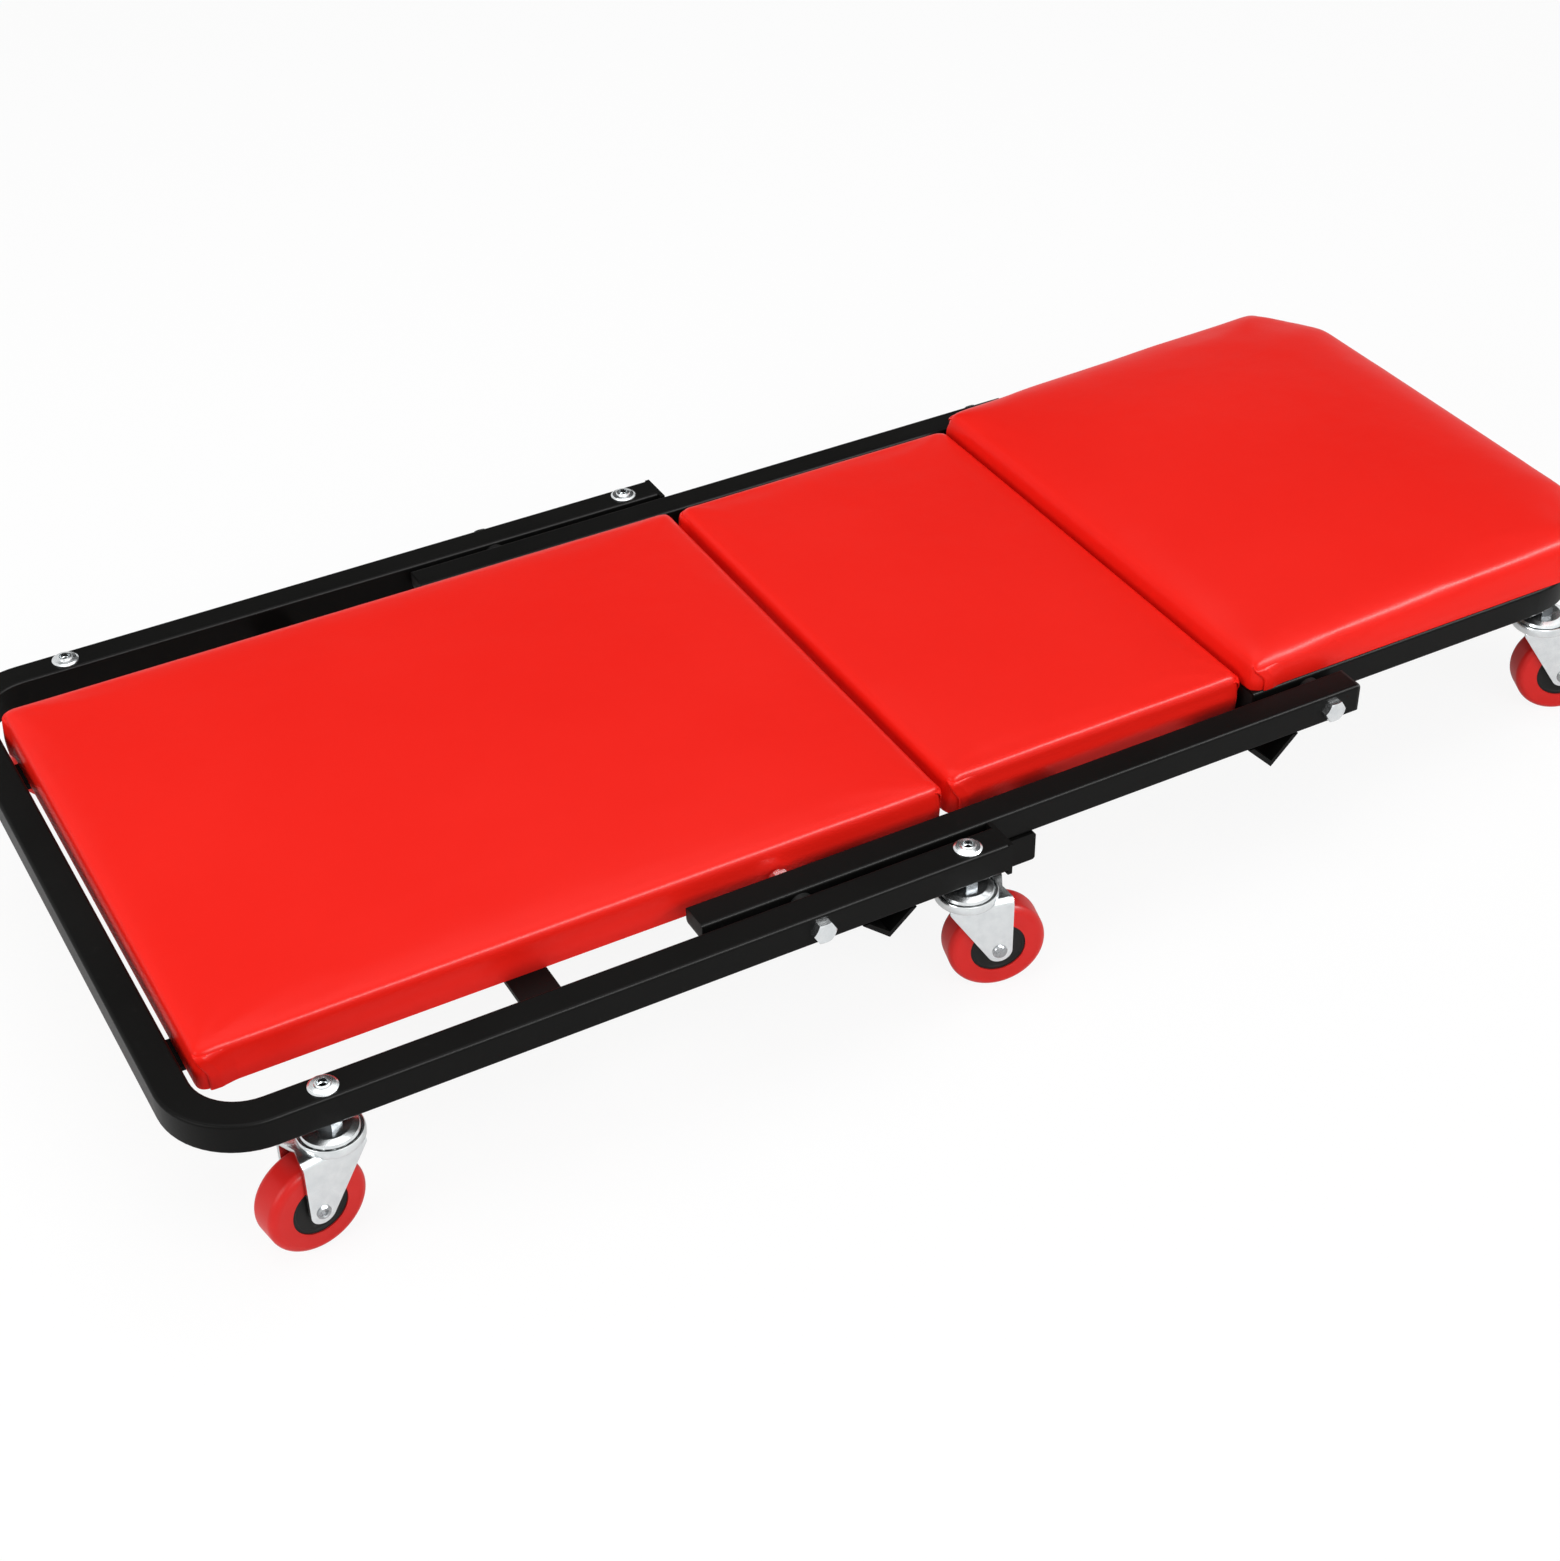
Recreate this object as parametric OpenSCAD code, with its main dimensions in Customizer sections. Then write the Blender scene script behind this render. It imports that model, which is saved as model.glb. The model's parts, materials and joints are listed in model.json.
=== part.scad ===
// Folding workshop creeper that turns into a stool, lying flat on its six casters.
// X runs from the foot end to the head end, Y across, Z up from the floor. Millimetres.
// The left side is -Y and the right side +Y, as felt by someone lying on the pads.

/* [Frame tubes] */
// Side of the square steel tube
tube = 20; // [18:1:25]
// Wall of the tube
wall = 1.5; // [1:0.1:2]
// Outer corner radius of the tube
tube_corner = 2; // [1:0.5:3]
// Outer width of the base frame
frame_width = 470; // [420:2:520]
// Space between two nested frames at a pivot
side_gap = 5; // [4.5:0.1:7]

/* [Base frame] */
// Length of the base frame
base_length = 500; // [460:2:560]
// Radius of the bends, at the middle of the tube
base_bend = 40; // [34:1:80]
// Foot casters, from the outside of the crossbar
foot_caster_inset = 80; // [75:1:110]
// Middle casters, from the open end of the base
mid_caster_inset = 22; // [21:0.5:26]
// Width of the flat steel strips
strip_w = 25; // [18:1:30]
// Thickness of the flat steel strips
strip_t = 3; // [2:0.5:4]
// Lengthwise strips, from the middle of the creeper
rail_y = 143; // [120:1:150]
// Cross strip, from the outside of the crossbar
cross_strip_x = 204; // [150:1:220]
// Length of the rest bar along the creeper
rest_bar_l = 20; // [16:1:24]
// Space between the end of the base and the rest bar
rest_bar_offset = 15; // [12:1:20]

/* [Middle frame] */
// Front pivot, from the open end of the base
pivot_inset = 125; // [120:1:140]
// Distance between the two pivots
pivot_span = 380; // [360:2:410]
// Middle tube beyond the front pivot, towards the feet
middle_stub = 63; // [60:1:70]
// Middle tube beyond the rear pivot, towards the head
middle_tail = 20; // [18:1:26]
// Rounding of the lower corner of the stub
stub_round = 12; // [6:1:14]

/* [Head frame] */
// Head tube beyond the rear pivot, towards the feet
head_stub = 42; // [38:1:43]
// Reach of the head frame beyond the rear pivot
head_frame_reach = 250; // [240:1:255]
// Radius of the bends, at the middle of the tube
head_bend = 50; // [40:1:55]
// Head casters, from the rear pivot
head_caster_x = 205; // [190:1:210]
// First cross strip, from the rear pivot
head_strip_first = 60; // [50:1:70]
// Second cross strip, from the rear pivot
head_strip_second = 150; // [130:1:170]
// First screws of the head pad, from the rear pivot
head_screw_first = 64; // [60:1:80]
// Last screws of the head pad, from the rear pivot
head_screw_last = 175; // [160:1:180]

/* [Stops] */
// Angle that the middle frame folds through
middle_fold = 139; // [135:1:142]
// Angle that the head frame folds through
head_fold = 135; // [132:1:138]
// Thickness of the two V-shaped stop bars
stop_t = 3; // [2:0.5:4]
// Depth of the base stop bar below the tube
base_stop_depth = 15.5; // [14:0.5:17]
// Depth of the middle stop bar below the tube
middle_stop_depth = 19; // [17:0.5:20]

/* [Pads] */
// Rounding of a pad's corners, seen from above
pad_corner = 6; // [4:0.5:12]
// Height of a flat pad at its edge, board included
pad_h = 27.5; // [24:0.5:32]
// Rise of a flat pad at its middle
pad_crown = 2.5; // [1:0.5:6]
// Plywood board inside each pad
board_t = 9; // [6:1:12]
// Cover and padding around the edge of a board
board_margin = 3; // [2:0.5:5]
// Half width of the foot pad
foot_pad_half = 180; // [165:0.5:182]
// Half width of the middle pad
middle_pad_half = 177; // [165:0.5:182]
// Half width of the head pad
head_pad_half = 184; // [170:0.5:185]
// Space between two pads
pad_gap = 5; // [4:0.5:8]
// Space between the crossbar and the foot pad
foot_gap = 5; // [4:1:20]
// Middle pad, end before the rear pivot
middle_pad_lead = 46; // [45:0.5:50]
// Head pad, start before the rear pivot
head_pad_lead = 41; // [38:0.5:41.5]
// Reach of the head pad beyond the rear pivot
head_reach = 259; // [256:1:270]
// Head pad height at its foot edge
head_pad_h = 20.5; // [19:0.5:28]
// Head pad height at its head edge
head_pad_h2 = 31.5; // [24:0.5:36]
// Rise of the head pad at its middle
head_crown = 9; // [3:0.5:13]
// Cut corner of the head pad along the creeper
chamfer_x = 32; // [20:1:45]
// Cut corner of the head pad across the creeper
chamfer_y = 52; // [30:1:65]

/* [Casters] */
// Diameter of a wheel
wheel_d = 60; // [58:1:66]
// Width of the tyre
wheel_w = 22; // [20:1:28]
// Diameter of the wheel centre
hub_d = 34; // [28:1:40]
// Rounding of the tyre's shoulders
tyre_round = 5; // [3:0.5:7]
// Axle below the underside of the tube
axle_drop = 51; // [50:0.5:56]
// Axle behind the swivel axis
trail = 17.5; // [12:0.5:20]
// Sheet thickness of the fork
fork_t = 2.5; // [2:0.25:3]
// Radius of the lower end of the fork
cheek_r = 8; // [7:0.5:10]
// Diameter of the axle
axle_d = 6; // [5:0.5:8]
// Diameter of the swivel race
race_d = 37; // [34:1:40]
// Diameter of a bearing ball
ball_d = 3; // [2.5:0.25:3.5]
// Balls in one race
ball_count = 14; // [8:1:16]
// Turn of the foot casters at rest
foot_swivel = 190; // [0:1:360]
// Turn of the middle casters at rest
mid_swivel = -15; // [-180:1:180]
// Turn of the head casters at rest
head_swivel = -24; // [-180:1:180]

/* [Fasteners] */
// Diameter of the pivot bolts
bolt_d = 8; // [6:0.5:9]
// Hexagon of bolts and nuts, across the flats
hex_af = 13; // [12:0.5:14]
// Height of a bolt head
bolt_head_h = 5.2; // [3:0.2:6]
// Height of a pivot nut
nut_h = 7; // [5:0.5:7.5]
// Diameter of a washer
washer_d = 16; // [14:0.5:18]
// Diameter of the caster stem
stem_d = 8; // [6:0.5:9]
// Height of the nut under the tube
stem_nut_h = 6.5; // [5:0.5:7]
// Diameter of the flange of a sleeve nut
sleeve_flange_d = 17; // [15:0.5:18]
// Diameter of the barrel of a sleeve nut
sleeve_d = 11; // [10:0.5:12]
// Hexagon socket of a sleeve nut, across the flats
socket_af = 5; // [4:0.5:6]
// Diameter of a pad screw
screw_d = 5; // [4:0.5:6]

/* [Hidden] */
$fn = 64;
slack = 0.3;         // space between pieces that move past each other
running = 0.08;      // radial play of a shaft in its hole
snug = 0.05;         // radial play of a thread or a screw
through = 1;         // how far a cut runs past a face

// Heights
wheel_r = wheel_d / 2;
tube_under = wheel_r + axle_drop;
tube_mid = tube_under + tube / 2;
tube_top = tube_under + tube;

// Places along the creeper
total_length = base_length - pivot_inset + pivot_span + head_reach;
foot_end = -total_length / 2;
base_end = foot_end + base_length;
pivot_a = base_end - pivot_inset;
pivot_b = pivot_a + pivot_span;
rest_x = base_end + rest_bar_offset;
head_end = pivot_b + head_frame_reach;

// Widths of the three nested frames
base_w = frame_width;
middle_w = base_w - 2 * (tube + side_gap);
head_w = middle_w - 2 * (tube + side_gap);

// Pads
strip_top = tube_under + strip_t;
middle_lift = 0.5;   // keeps the middle pad off the lengthwise strips
foot_pad_x0 = foot_end + tube + foot_gap;
foot_pad_x1 = base_end - pad_gap * 2;
middle_pad_x0 = foot_pad_x1 + pad_gap;
middle_pad_x1 = pivot_b - middle_pad_lead;
head_pad_x0 = pivot_b - head_pad_lead;
head_pad_x1 = pivot_b + head_reach;
board_gap = 0.2;     // between a board and the padding round it
screw_bite = 7;      // length of a screw inside the board
screw_head_d = 9;
screw_head_h = 2.4;
rail_screws = [foot_pad_x0 + 14, foot_end + cross_strip_x + 60, base_end - 48];
middle_strip_x = [rest_x + rest_bar_l + 10, middle_pad_x1 - strip_w - 12];
middle_screw_y = [-110, 110];
head_strip_x = [pivot_b + head_strip_first, pivot_b + head_strip_second];
head_screw_x = [pivot_b + head_screw_first, pivot_b + head_screw_last];

// Caster heights, down from the underside of the tube
race_top = -stem_nut_h;
race_low = race_top - 4.5;
ball_z = race_low - ball_d / 2 + 0.6;
crown_top = ball_z - ball_d / 2 + 0.5;
crown_low = crown_top - fork_t;
ball_ring_r = race_d / 2 - 6;
cheek_gap = wheel_w / 2 + 0.8;
cheek_back = -race_d / 2 + 5;
cheek_front = trail + cheek_r - 0.2;
rivet_r = stem_d / 2 + 2.5;
head_washer_t = (side_gap - slack) / 3;

// Casters: place along, place across, turn at rest
foot_x = foot_end + foot_caster_inset;
mid_x = base_end - mid_caster_inset;
head_x = pivot_b + head_caster_x;
base_side = base_w / 2 - tube / 2;
head_side = head_w / 2 - tube / 2;
FOOT_L = [foot_x, -base_side, foot_swivel];
FOOT_R = [foot_x, base_side, -foot_swivel];
MID_L = [mid_x, -base_side, mid_swivel];
MID_R = [mid_x, base_side, -mid_swivel];
HEAD_L = [head_x, -head_side, head_swivel];
HEAD_R = [head_x, head_side, -head_swivel];
BASE_CASTERS = [FOOT_L, FOOT_R, MID_L, MID_R];
HEAD_CASTERS = [HEAD_L, HEAD_R];

black = "#1b1b1a";
zinc = "#c9ccce";
red = "#e32b22";
wood = "#b98d5c";
plastic = "#222220";

// Rounded square, the outline of the tube when s is its side
module section(s, r) {
    square([s - 2 * r, s], center = true);
    square([s, s - 2 * r], center = true);
    for (x = [-1, 1], y = [-1, 1])
        translate([x * (s / 2 - r), y * (s / 2 - r)]) circle(r);
}

module outer_section() { section(tube, tube_corner); }
module inner_section() { section(tube - 2 * wall, max(tube_corner - wall, 0.5)); }

// Straight run along X from x0 to x1, of the section given as its child
module run_x(x0, x1) {
    translate([x0, 0, 0]) rotate([90, 0, 90]) linear_extrude(x1 - x0) children();
}

// U-shaped run: crossbar at x, legs reaching to x + length, open towards +X
module u_run(length, width, bend, extra) {
    side = width / 2 - tube / 2;
    cx = tube / 2 + bend;
    for (s = [-1, 1]) translate([0, s * side, 0]) run_x(cx, length + extra) children();
    translate([tube / 2, side - bend, 0]) rotate([90, 0, 0])
        linear_extrude(2 * (side - bend)) children();
    translate([cx, bend - side, 0]) rotate([0, 0, 180])
        rotate_extrude(angle = 90) translate([bend, 0]) children();
    translate([cx, side - bend, 0]) rotate([0, 0, 90])
        rotate_extrude(angle = 90) translate([bend, 0]) children();
}

module u_tube(length, width, bend) {
    difference() {
        u_run(length, width, bend, 0) outer_section();
        u_run(length, width, bend, through) inner_section();
    }
}

// Upright holes for a caster's sleeve nut and stem
module stem_holes(casters) {
    for (c = casters) translate([c[0], c[1], tube_mid]) {
        cylinder(h = tube / 2 + through, r = sleeve_d / 2 + snug);
        translate([0, 0, -tube / 2 - through]) cylinder(h = tube, r = stem_d / 2 + snug);
    }
}

// Shallow seats that sink the flanges of the head frame's sleeve nuts
module flange_seats() {
    for (c = HEAD_CASTERS) translate([c[0], c[1], tube_top - flush_t])
        cylinder(h = flush_t + through, r = flush_r + snug);
}

// Hole along Y for a pivot bolt, through the walls of both side tubes
module pivot_hole(x, play) {
    translate([x, 0, tube_mid]) rotate([90, 0, 0])
        cylinder(h = base_w + 2 * through, r = bolt_d / 2 + play, center = true);
}

// Hexagonal prism standing on its base
module hex_bar(af, h) { cylinder(h = h, d = af / cos(30), $fn = 6); }

// Base frame

module base_tube() {
    color(black) difference() {
        translate([foot_end, 0, tube_mid]) u_tube(base_length, base_w, base_bend);
        stem_holes(BASE_CASTERS);
        pivot_hole(pivot_a, snug);
    }
}

// Plates that close the open ends of the base tube and hang the rest bar
plate_t = rest_bar_offset;
plate_lip = 2;
rest_top = tube_under - slack;
rest_low = rest_top - tube;
module base_end_plates() {
    color(black) for (s = [-1, 1]) {
        y0 = s * base_w / 2;
        y1 = s * (base_w / 2 - tube);
        translate([base_end, 0, 0]) rotate([90, 0, 90]) linear_extrude(strip_t)
            polygon([
                [y0, tube_top], [y0, tube_under - plate_lip], [y1, rest_top - plate_lip],
                [s * middle_w / 2, rest_low], [s * (middle_w / 2 - tube), rest_low],
                [s * (middle_w / 2 - tube), rest_top], [s * (middle_w / 2 + slack), rest_top],
                [s * (middle_w / 2 + slack), tube_top]
            ]);
        // short lengths of strip on edge, from the plate to the rest bar
        y2 = s * (middle_w / 2 - tube / 2);
        translate([base_end + strip_t, y2 - strip_t / 2, rest_low])
            cube([plate_t - strip_t, strip_t, tube]);
    }
}

// Two lengthwise strips under the foot pad, crossed by one strip between the side tubes
module base_pad_strips() {
    color(black) difference() {
        union() {
            for (s = [-1, 1])
                translate([foot_end + tube, s * rail_y - strip_w / 2, tube_under])
                    cube([rest_x + rest_bar_l - 5 - foot_end - tube, strip_w, strip_t]);
            translate([foot_end + cross_strip_x, tube - base_w / 2, tube_under])
                cube([strip_w, base_w - 2 * tube, strip_t]);
        }
        for (x = rail_screws, s = [-1, 1])
            translate([x, s * rail_y, tube_under - through])
                cylinder(h = strip_t + 2 * through, r = screw_d / 2 + snug);
    }
}

// V-shaped bar across the underside: half_w at the top, pointing down by depth
module v_profile(half_w, depth) {
    t = stop_t * sqrt(half_w * half_w + depth * depth) / half_w;
    polygon([
        [-half_w, 0], [0, -depth], [half_w, 0],
        [half_w - stop_t * 1.35, 0], [0, t - depth], [stop_t * 1.35 - half_w, 0]
    ]);
}

// Distance from a pivot to the near top edge of a stop bar, for the tube to lie flat on it
function stop_reach(a) = (tube / 2 + slack + tube / 2 * cos(180 - a)) / sin(180 - a);
function stop_half(a, depth) = depth / tan(180 - a);

module stop_bar(x, width, half_w, depth, inner_w) {
    difference() {
        translate([x, width / 2, tube_under]) rotate([90, 0, 0])
            linear_extrude(width) v_profile(half_w, depth);
        // the moving tubes inside pass just above the bar
        for (s = [-1, 1])
            translate([x - half_w - through, s * (inner_w / 2 - tube / 2) - tube / 2 - 1,
                       tube_under - slack])
                cube([2 * (half_w + through), tube + 2, through]);
    }
}

module base_stop_bar() {
    half_w = stop_half(middle_fold, base_stop_depth);
    color(black) stop_bar(pivot_a + stop_reach(middle_fold) + half_w, base_w, half_w,
                          base_stop_depth, middle_w);
}

// Square tube across the open end, under the middle frame, with a cap welded on each end
end_cap_t = 1.5;
module base_rest_bar() {
    color(black) translate([rest_x + rest_bar_l / 2, middle_w / 2, rest_low + tube / 2])
        rotate([90, 0, 0]) {
            difference() {
                linear_extrude(middle_w) bar_outline(0);
                translate([0, 0, -through]) linear_extrude(middle_w + 2 * through) bar_outline(wall);
            }
            for (z = [-end_cap_t, middle_w]) translate([0, 0, z]) linear_extrude(end_cap_t) bar_outline(0);
        }
}

// Rounded outline of the rest bar, drawn in by d
module bar_outline(d) {
    w = rest_bar_l - 2 * d;
    h = tube - 2 * d;
    r = max(tube_corner - d, 0.5);
    square([w - 2 * r, h], center = true);
    square([w, h - 2 * r], center = true);
    for (x = [-1, 1], y = [-1, 1])
        translate([x * (w / 2 - r), y * (h / 2 - r)]) circle(r);
}

// Middle frame

module middle_tube(s) {
    x0 = pivot_a - middle_stub;
    x1 = pivot_b + middle_tail;
    y = s * (middle_w / 2 - tube / 2);
    difference() {
        translate([0, y, tube_mid]) difference() {
            run_x(x0, x1) outer_section();
            run_x(x0 - through, x1 + through) inner_section();
        }
        stub_corner(x0);
        pivot_hole(pivot_a, running);
        pivot_hole(pivot_b, snug);
    }
}

// What the rounded lower corner of the stub leaves out
module stub_corner(x0) {
    translate([x0, 0, tube_under]) rotate([90, 0, 0])
        linear_extrude(middle_w + 2 * through, center = true) difference() {
            translate([-through, -through])
                square([stub_round + through, stub_round + through]);
            translate([stub_round, stub_round]) circle(stub_round);
        }
}

module middle_left_tube() { color(black) middle_tube(-1); }
module middle_right_tube() { color(black) middle_tube(1); }

plug_l = 12;
plug_flange = 1.5;
module plug_body(x, y) {
    translate([0, y, tube_mid]) run_x(x, x + plug_l) inner_section();
}

// Closed ends of the two middle tubes
module middle_tube_plugs() {
    color(plastic) difference() {
        for (s = [-1, 1]) {
            y = s * (middle_w / 2 - tube / 2);
            plug_body(pivot_a - middle_stub, y);
            plug_body(pivot_b + middle_tail - plug_l, y);
            translate([0, y, tube_mid])
                run_x(pivot_b + middle_tail, pivot_b + middle_tail + plug_flange) outer_section();
        }
        stub_corner(pivot_a - middle_stub);
    }
}

module middle_pad_strips() {
    half = middle_w / 2 - tube;
    color(black) difference() {
        for (x = middle_strip_x)
            translate([x, -half, tube_under + middle_lift]) cube([strip_w, 2 * half, strip_t]);
        for (x = middle_strip_x, y = middle_screw_y)
            translate([x + strip_w / 2, y, tube_under - through])
                cylinder(h = strip_t + 3 * through, r = screw_d / 2 + snug);
    }
}

module middle_stop_bar() {
    half_w = stop_half(head_fold, middle_stop_depth);
    color(black) stop_bar(pivot_b - stop_reach(head_fold) - half_w, middle_w, half_w,
                          middle_stop_depth, head_w);
}

// Head frame

module head_tube() {
    color(black) difference() {
        translate([head_end, 0, tube_mid]) mirror([1, 0, 0])
            u_tube(head_frame_reach + head_stub, head_w, head_bend);
        stem_holes(HEAD_CASTERS);
        flange_seats();
        pivot_hole(pivot_b, running);
        for (x = head_screw_x, s = [-1, 1])
            translate([x, s * head_side, tube_under - through])
                cylinder(h = tube + 2 * through, r = screw_d / 2 + snug);
    }
}

module head_tube_plugs() {
    color(plastic) for (s = [-1, 1]) plug_body(pivot_b - head_stub, s * head_side);
}

module head_cross_strips() {
    half = head_w / 2 - tube;
    color(black) for (x = head_strip_x)
        translate([x, -half, tube_under]) cube([strip_w, 2 * half, strip_t]);
}

// Pads

function unit(v) = v / norm(v);

// Points along one rounded corner p, between the corners before and after it
function corner_points(before, p, after, r, n) =
    let (u = unit(before - p), v = unit(after - p),
         half = acos(u * v) / 2,
         c = p + unit(u + v) * (r / sin(half)),
         s = p + u * (r / tan(half)) - c,
         e = p + v * (r / tan(half)) - c,
         a = atan2(s[1], s[0]),
         turn = atan2(s[0] * e[1] - s[1] * e[0], s * e))
    [for (k = [0:n]) c + r * [cos(a + turn * k / n), sin(a + turn * k / n)]];

// Closed outline with rounded corners and its straight sides cut in equal steps
function outline(corners, r, arc_steps, side_steps) =
    let (m = len(corners),
         arcs = [for (i = [0:m - 1])
             corner_points(corners[(i + m - 1) % m], corners[i], corners[(i + 1) % m],
                           r, arc_steps)])
    [for (i = [0:m - 1])
        let (a = arcs[i], b = arcs[(i + 1) % m][0], last = a[arc_steps])
        each concat(a, [for (k = [1:side_steps - 1]) last + (b - last) * k / side_steps])];

// Padding and cover of one pad, standing on its board's underside at z = 0.
// Rings of the outline climb the side and then close over the crowned top.
module cushion_form(hx, hy, corners, h0, h1, crown) {
    ring = outline(corners, pad_corner, 4, 7);
    n = len(ring);
    side = [[1.2, 0], [0.3, 0.15], [0, 0.45], [0.1, 0.74], [0.6, 0.90], [2, 0.975]];
    top = [for (k = [0.04, 0.1, 0.2, 0.34, 0.52, 0.74, 0.94]) k * min(hx, hy)];
    rows = len(side) + len(top);
    function edge_h(x) = h0 + (h1 - h0) * (x + hx) / (2 * hx);
    function rise(x, y) =
        crown * (1 - pow(abs(x / hx), 2.6)) * (1 - pow(abs(y / hy), 2.6));
    function at(p, inset) = [p[0] * (1 - inset / hx), p[1] * (1 - inset / hy)];
    points = concat(
        [for (s = side, p = ring) let (q = at(p, s[0])) [q[0], q[1], s[1] * edge_h(q[0])]],
        [for (t = top, p = ring) let (q = at(p, t))
            [q[0], q[1], edge_h(q[0]) + rise(q[0], q[1])]],
        [[0, 0, 0], [0, 0, edge_h(0) + crown]]);
    bottom = rows * n;
    peak = bottom + 1;
    faces = concat(
        [for (k = [0:rows - 2], i = [0:n - 1])
            let (a = k * n + i, b = k * n + (i + 1) % n)
            each [[a, a + n, b + n], [a, b + n, b]]],
        [for (i = [0:n - 1]) [bottom, i, (i + 1) % n]],
        [for (i = [0:n - 1]) [peak, (rows - 1) * n + (i + 1) % n, (rows - 1) * n + i]]);
    polyhedron(points, faces);
}

function box_corners(hx, hy) = [[-hx, -hy], [hx, -hy], [hx, hy], [-hx, hy]];
function cut_corners(hx, hy) = [
    [-hx, -hy], [hx - chamfer_x, -hy], [hx, chamfer_y - hy],
    [hx, hy - chamfer_y], [hx - chamfer_x, hy], [-hx, hy]
];

// One pad's padding with the pocket that its board sits in
module cushion(x0, x1, hy, z, corners, board, h0, h1, crown) {
    hx = (x1 - x0) / 2;
    color(red) translate([x0 + hx, 0, z]) difference() {
        cushion_form(hx, hy, corners, h0, h1, crown);
        translate([0, 0, -through])
            linear_extrude(board_t + board_gap + through) polygon(board);
    }
}

// Plywood board of one pad with the holes that its screws bite into
module board(x0, x1, z, corners, holes) {
    color(wood) difference() {
        translate([(x0 + x1) / 2, 0, z]) linear_extrude(board_t) polygon(corners);
        for (p = holes)
            translate([p[0], p[1], z - through])
                cylinder(h = screw_bite + through + snug, r = screw_d / 2 + snug);
    }
}

module foot_pad_board() {
    hx = (foot_pad_x1 - foot_pad_x0) / 2 - board_margin;
    board(foot_pad_x0, foot_pad_x1, strip_top, box_corners(hx, foot_pad_half - board_margin),
          [for (x = rail_screws, s = [-1, 1]) [x, s * rail_y]]);
}

module foot_pad_cushion() {
    hx = (foot_pad_x1 - foot_pad_x0) / 2;
    inset = board_margin - board_gap;
    cushion(foot_pad_x0, foot_pad_x1, foot_pad_half, strip_top,
            box_corners(hx, foot_pad_half), box_corners(hx - inset, foot_pad_half - inset),
            pad_h, pad_h, pad_crown);
}

module middle_pad_board() {
    hx = (middle_pad_x1 - middle_pad_x0) / 2 - board_margin;
    board(middle_pad_x0, middle_pad_x1, strip_top + middle_lift,
          box_corners(hx, middle_pad_half - board_margin),
          [for (x = middle_strip_x, y = middle_screw_y) [x + strip_w / 2, y]]);
}

module middle_pad_cushion() {
    hx = (middle_pad_x1 - middle_pad_x0) / 2;
    inset = board_margin - board_gap;
    cushion(middle_pad_x0, middle_pad_x1, middle_pad_half, strip_top + middle_lift,
            box_corners(hx, middle_pad_half), box_corners(hx - inset, middle_pad_half - inset),
            pad_h, pad_h, pad_crown);
}

module head_pad_board() {
    hx = (head_pad_x1 - head_pad_x0) / 2 - board_margin;
    board(head_pad_x0, head_pad_x1, tube_top, cut_corners(hx, head_pad_half - board_margin),
          [for (x = head_screw_x, s = [-1, 1]) [x, s * head_side]]);
}

module head_pad_cushion() {
    hx = (head_pad_x1 - head_pad_x0) / 2;
    inset = board_margin - board_gap;
    cushion(head_pad_x0, head_pad_x1, head_pad_half, tube_top,
            cut_corners(hx, head_pad_half), cut_corners(hx - inset, head_pad_half - inset),
            head_pad_h, head_pad_h2, head_crown);
}

// Fasteners

// Pan-head screw pointing up, with the underside of its head at z = 0
module pad_screw(grip) {
    cylinder(h = grip + screw_bite, r = screw_d / 2);
    translate([0, 0, -screw_head_h]) difference() {
        union() {
            translate([0, 0, 1]) cylinder(h = screw_head_h - 1, r = screw_head_d / 2);
            cylinder(h = 1, r1 = screw_head_d / 2 - 1, r2 = screw_head_d / 2);
        }
        for (a = [0, 90]) rotate(a)
            translate([-2, -0.5, -0.2]) cube([4, 1, 1.4]);
    }
}

module foot_pad_screws() {
    color(zinc) for (x = rail_screws, s = [-1, 1])
        translate([x, s * rail_y, tube_under]) pad_screw(strip_t);
}

module middle_pad_screws() {
    color(zinc) for (x = middle_strip_x, y = middle_screw_y)
        translate([x + strip_w / 2, y, tube_under + middle_lift]) pad_screw(strip_t);
}

module head_pad_screws() {
    color(zinc) for (x = head_screw_x, s = [-1, 1])
        translate([x, s * head_side, tube_under]) pad_screw(tube);
}

// Sleeve nut in the tube's top wall, with a collar round its hexagon socket
sleeve_depth = 15;
stem_lead = 8;       // end of a stem, below the top of the tube
module sleeve_barrel(top) {
    translate([0, 0, -sleeve_depth]) difference() {
        cylinder(h = sleeve_depth + top, r = sleeve_d / 2);
        translate([0, 0, -through]) cylinder(h = sleeve_depth - 1, r = stem_d / 2 + snug);
        translate([0, 0, sleeve_depth - 4]) hex_bar(socket_af, 4 + top + through);
    }
}

module sleeve_nut() {
    sleeve_barrel(0.4);
    difference() {
        rotate_extrude() polygon([
            [3, 0], [sleeve_flange_d / 2, 0], [sleeve_flange_d / 2, 0.7],
            [sleeve_flange_d / 2 - 1.2, 1.5], [4.9, 2], [4.4, 3], [3.6, 3.2], [3, 3.2]
        ]);
        translate([0, 0, -through]) hex_bar(socket_af, 4 + through);
    }
}

// Under the head pad the flange is flat and lies level with the tube
flush_t = 0.9;
flush_r = 7;
module flush_sleeve_nut() {
    sleeve_barrel(0);
    translate([0, 0, -flush_t]) difference() {
        cylinder(h = flush_t, r = flush_r);
        translate([0, 0, -through]) cylinder(h = flush_t + 2 * through, r = 4);
    }
}

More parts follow.
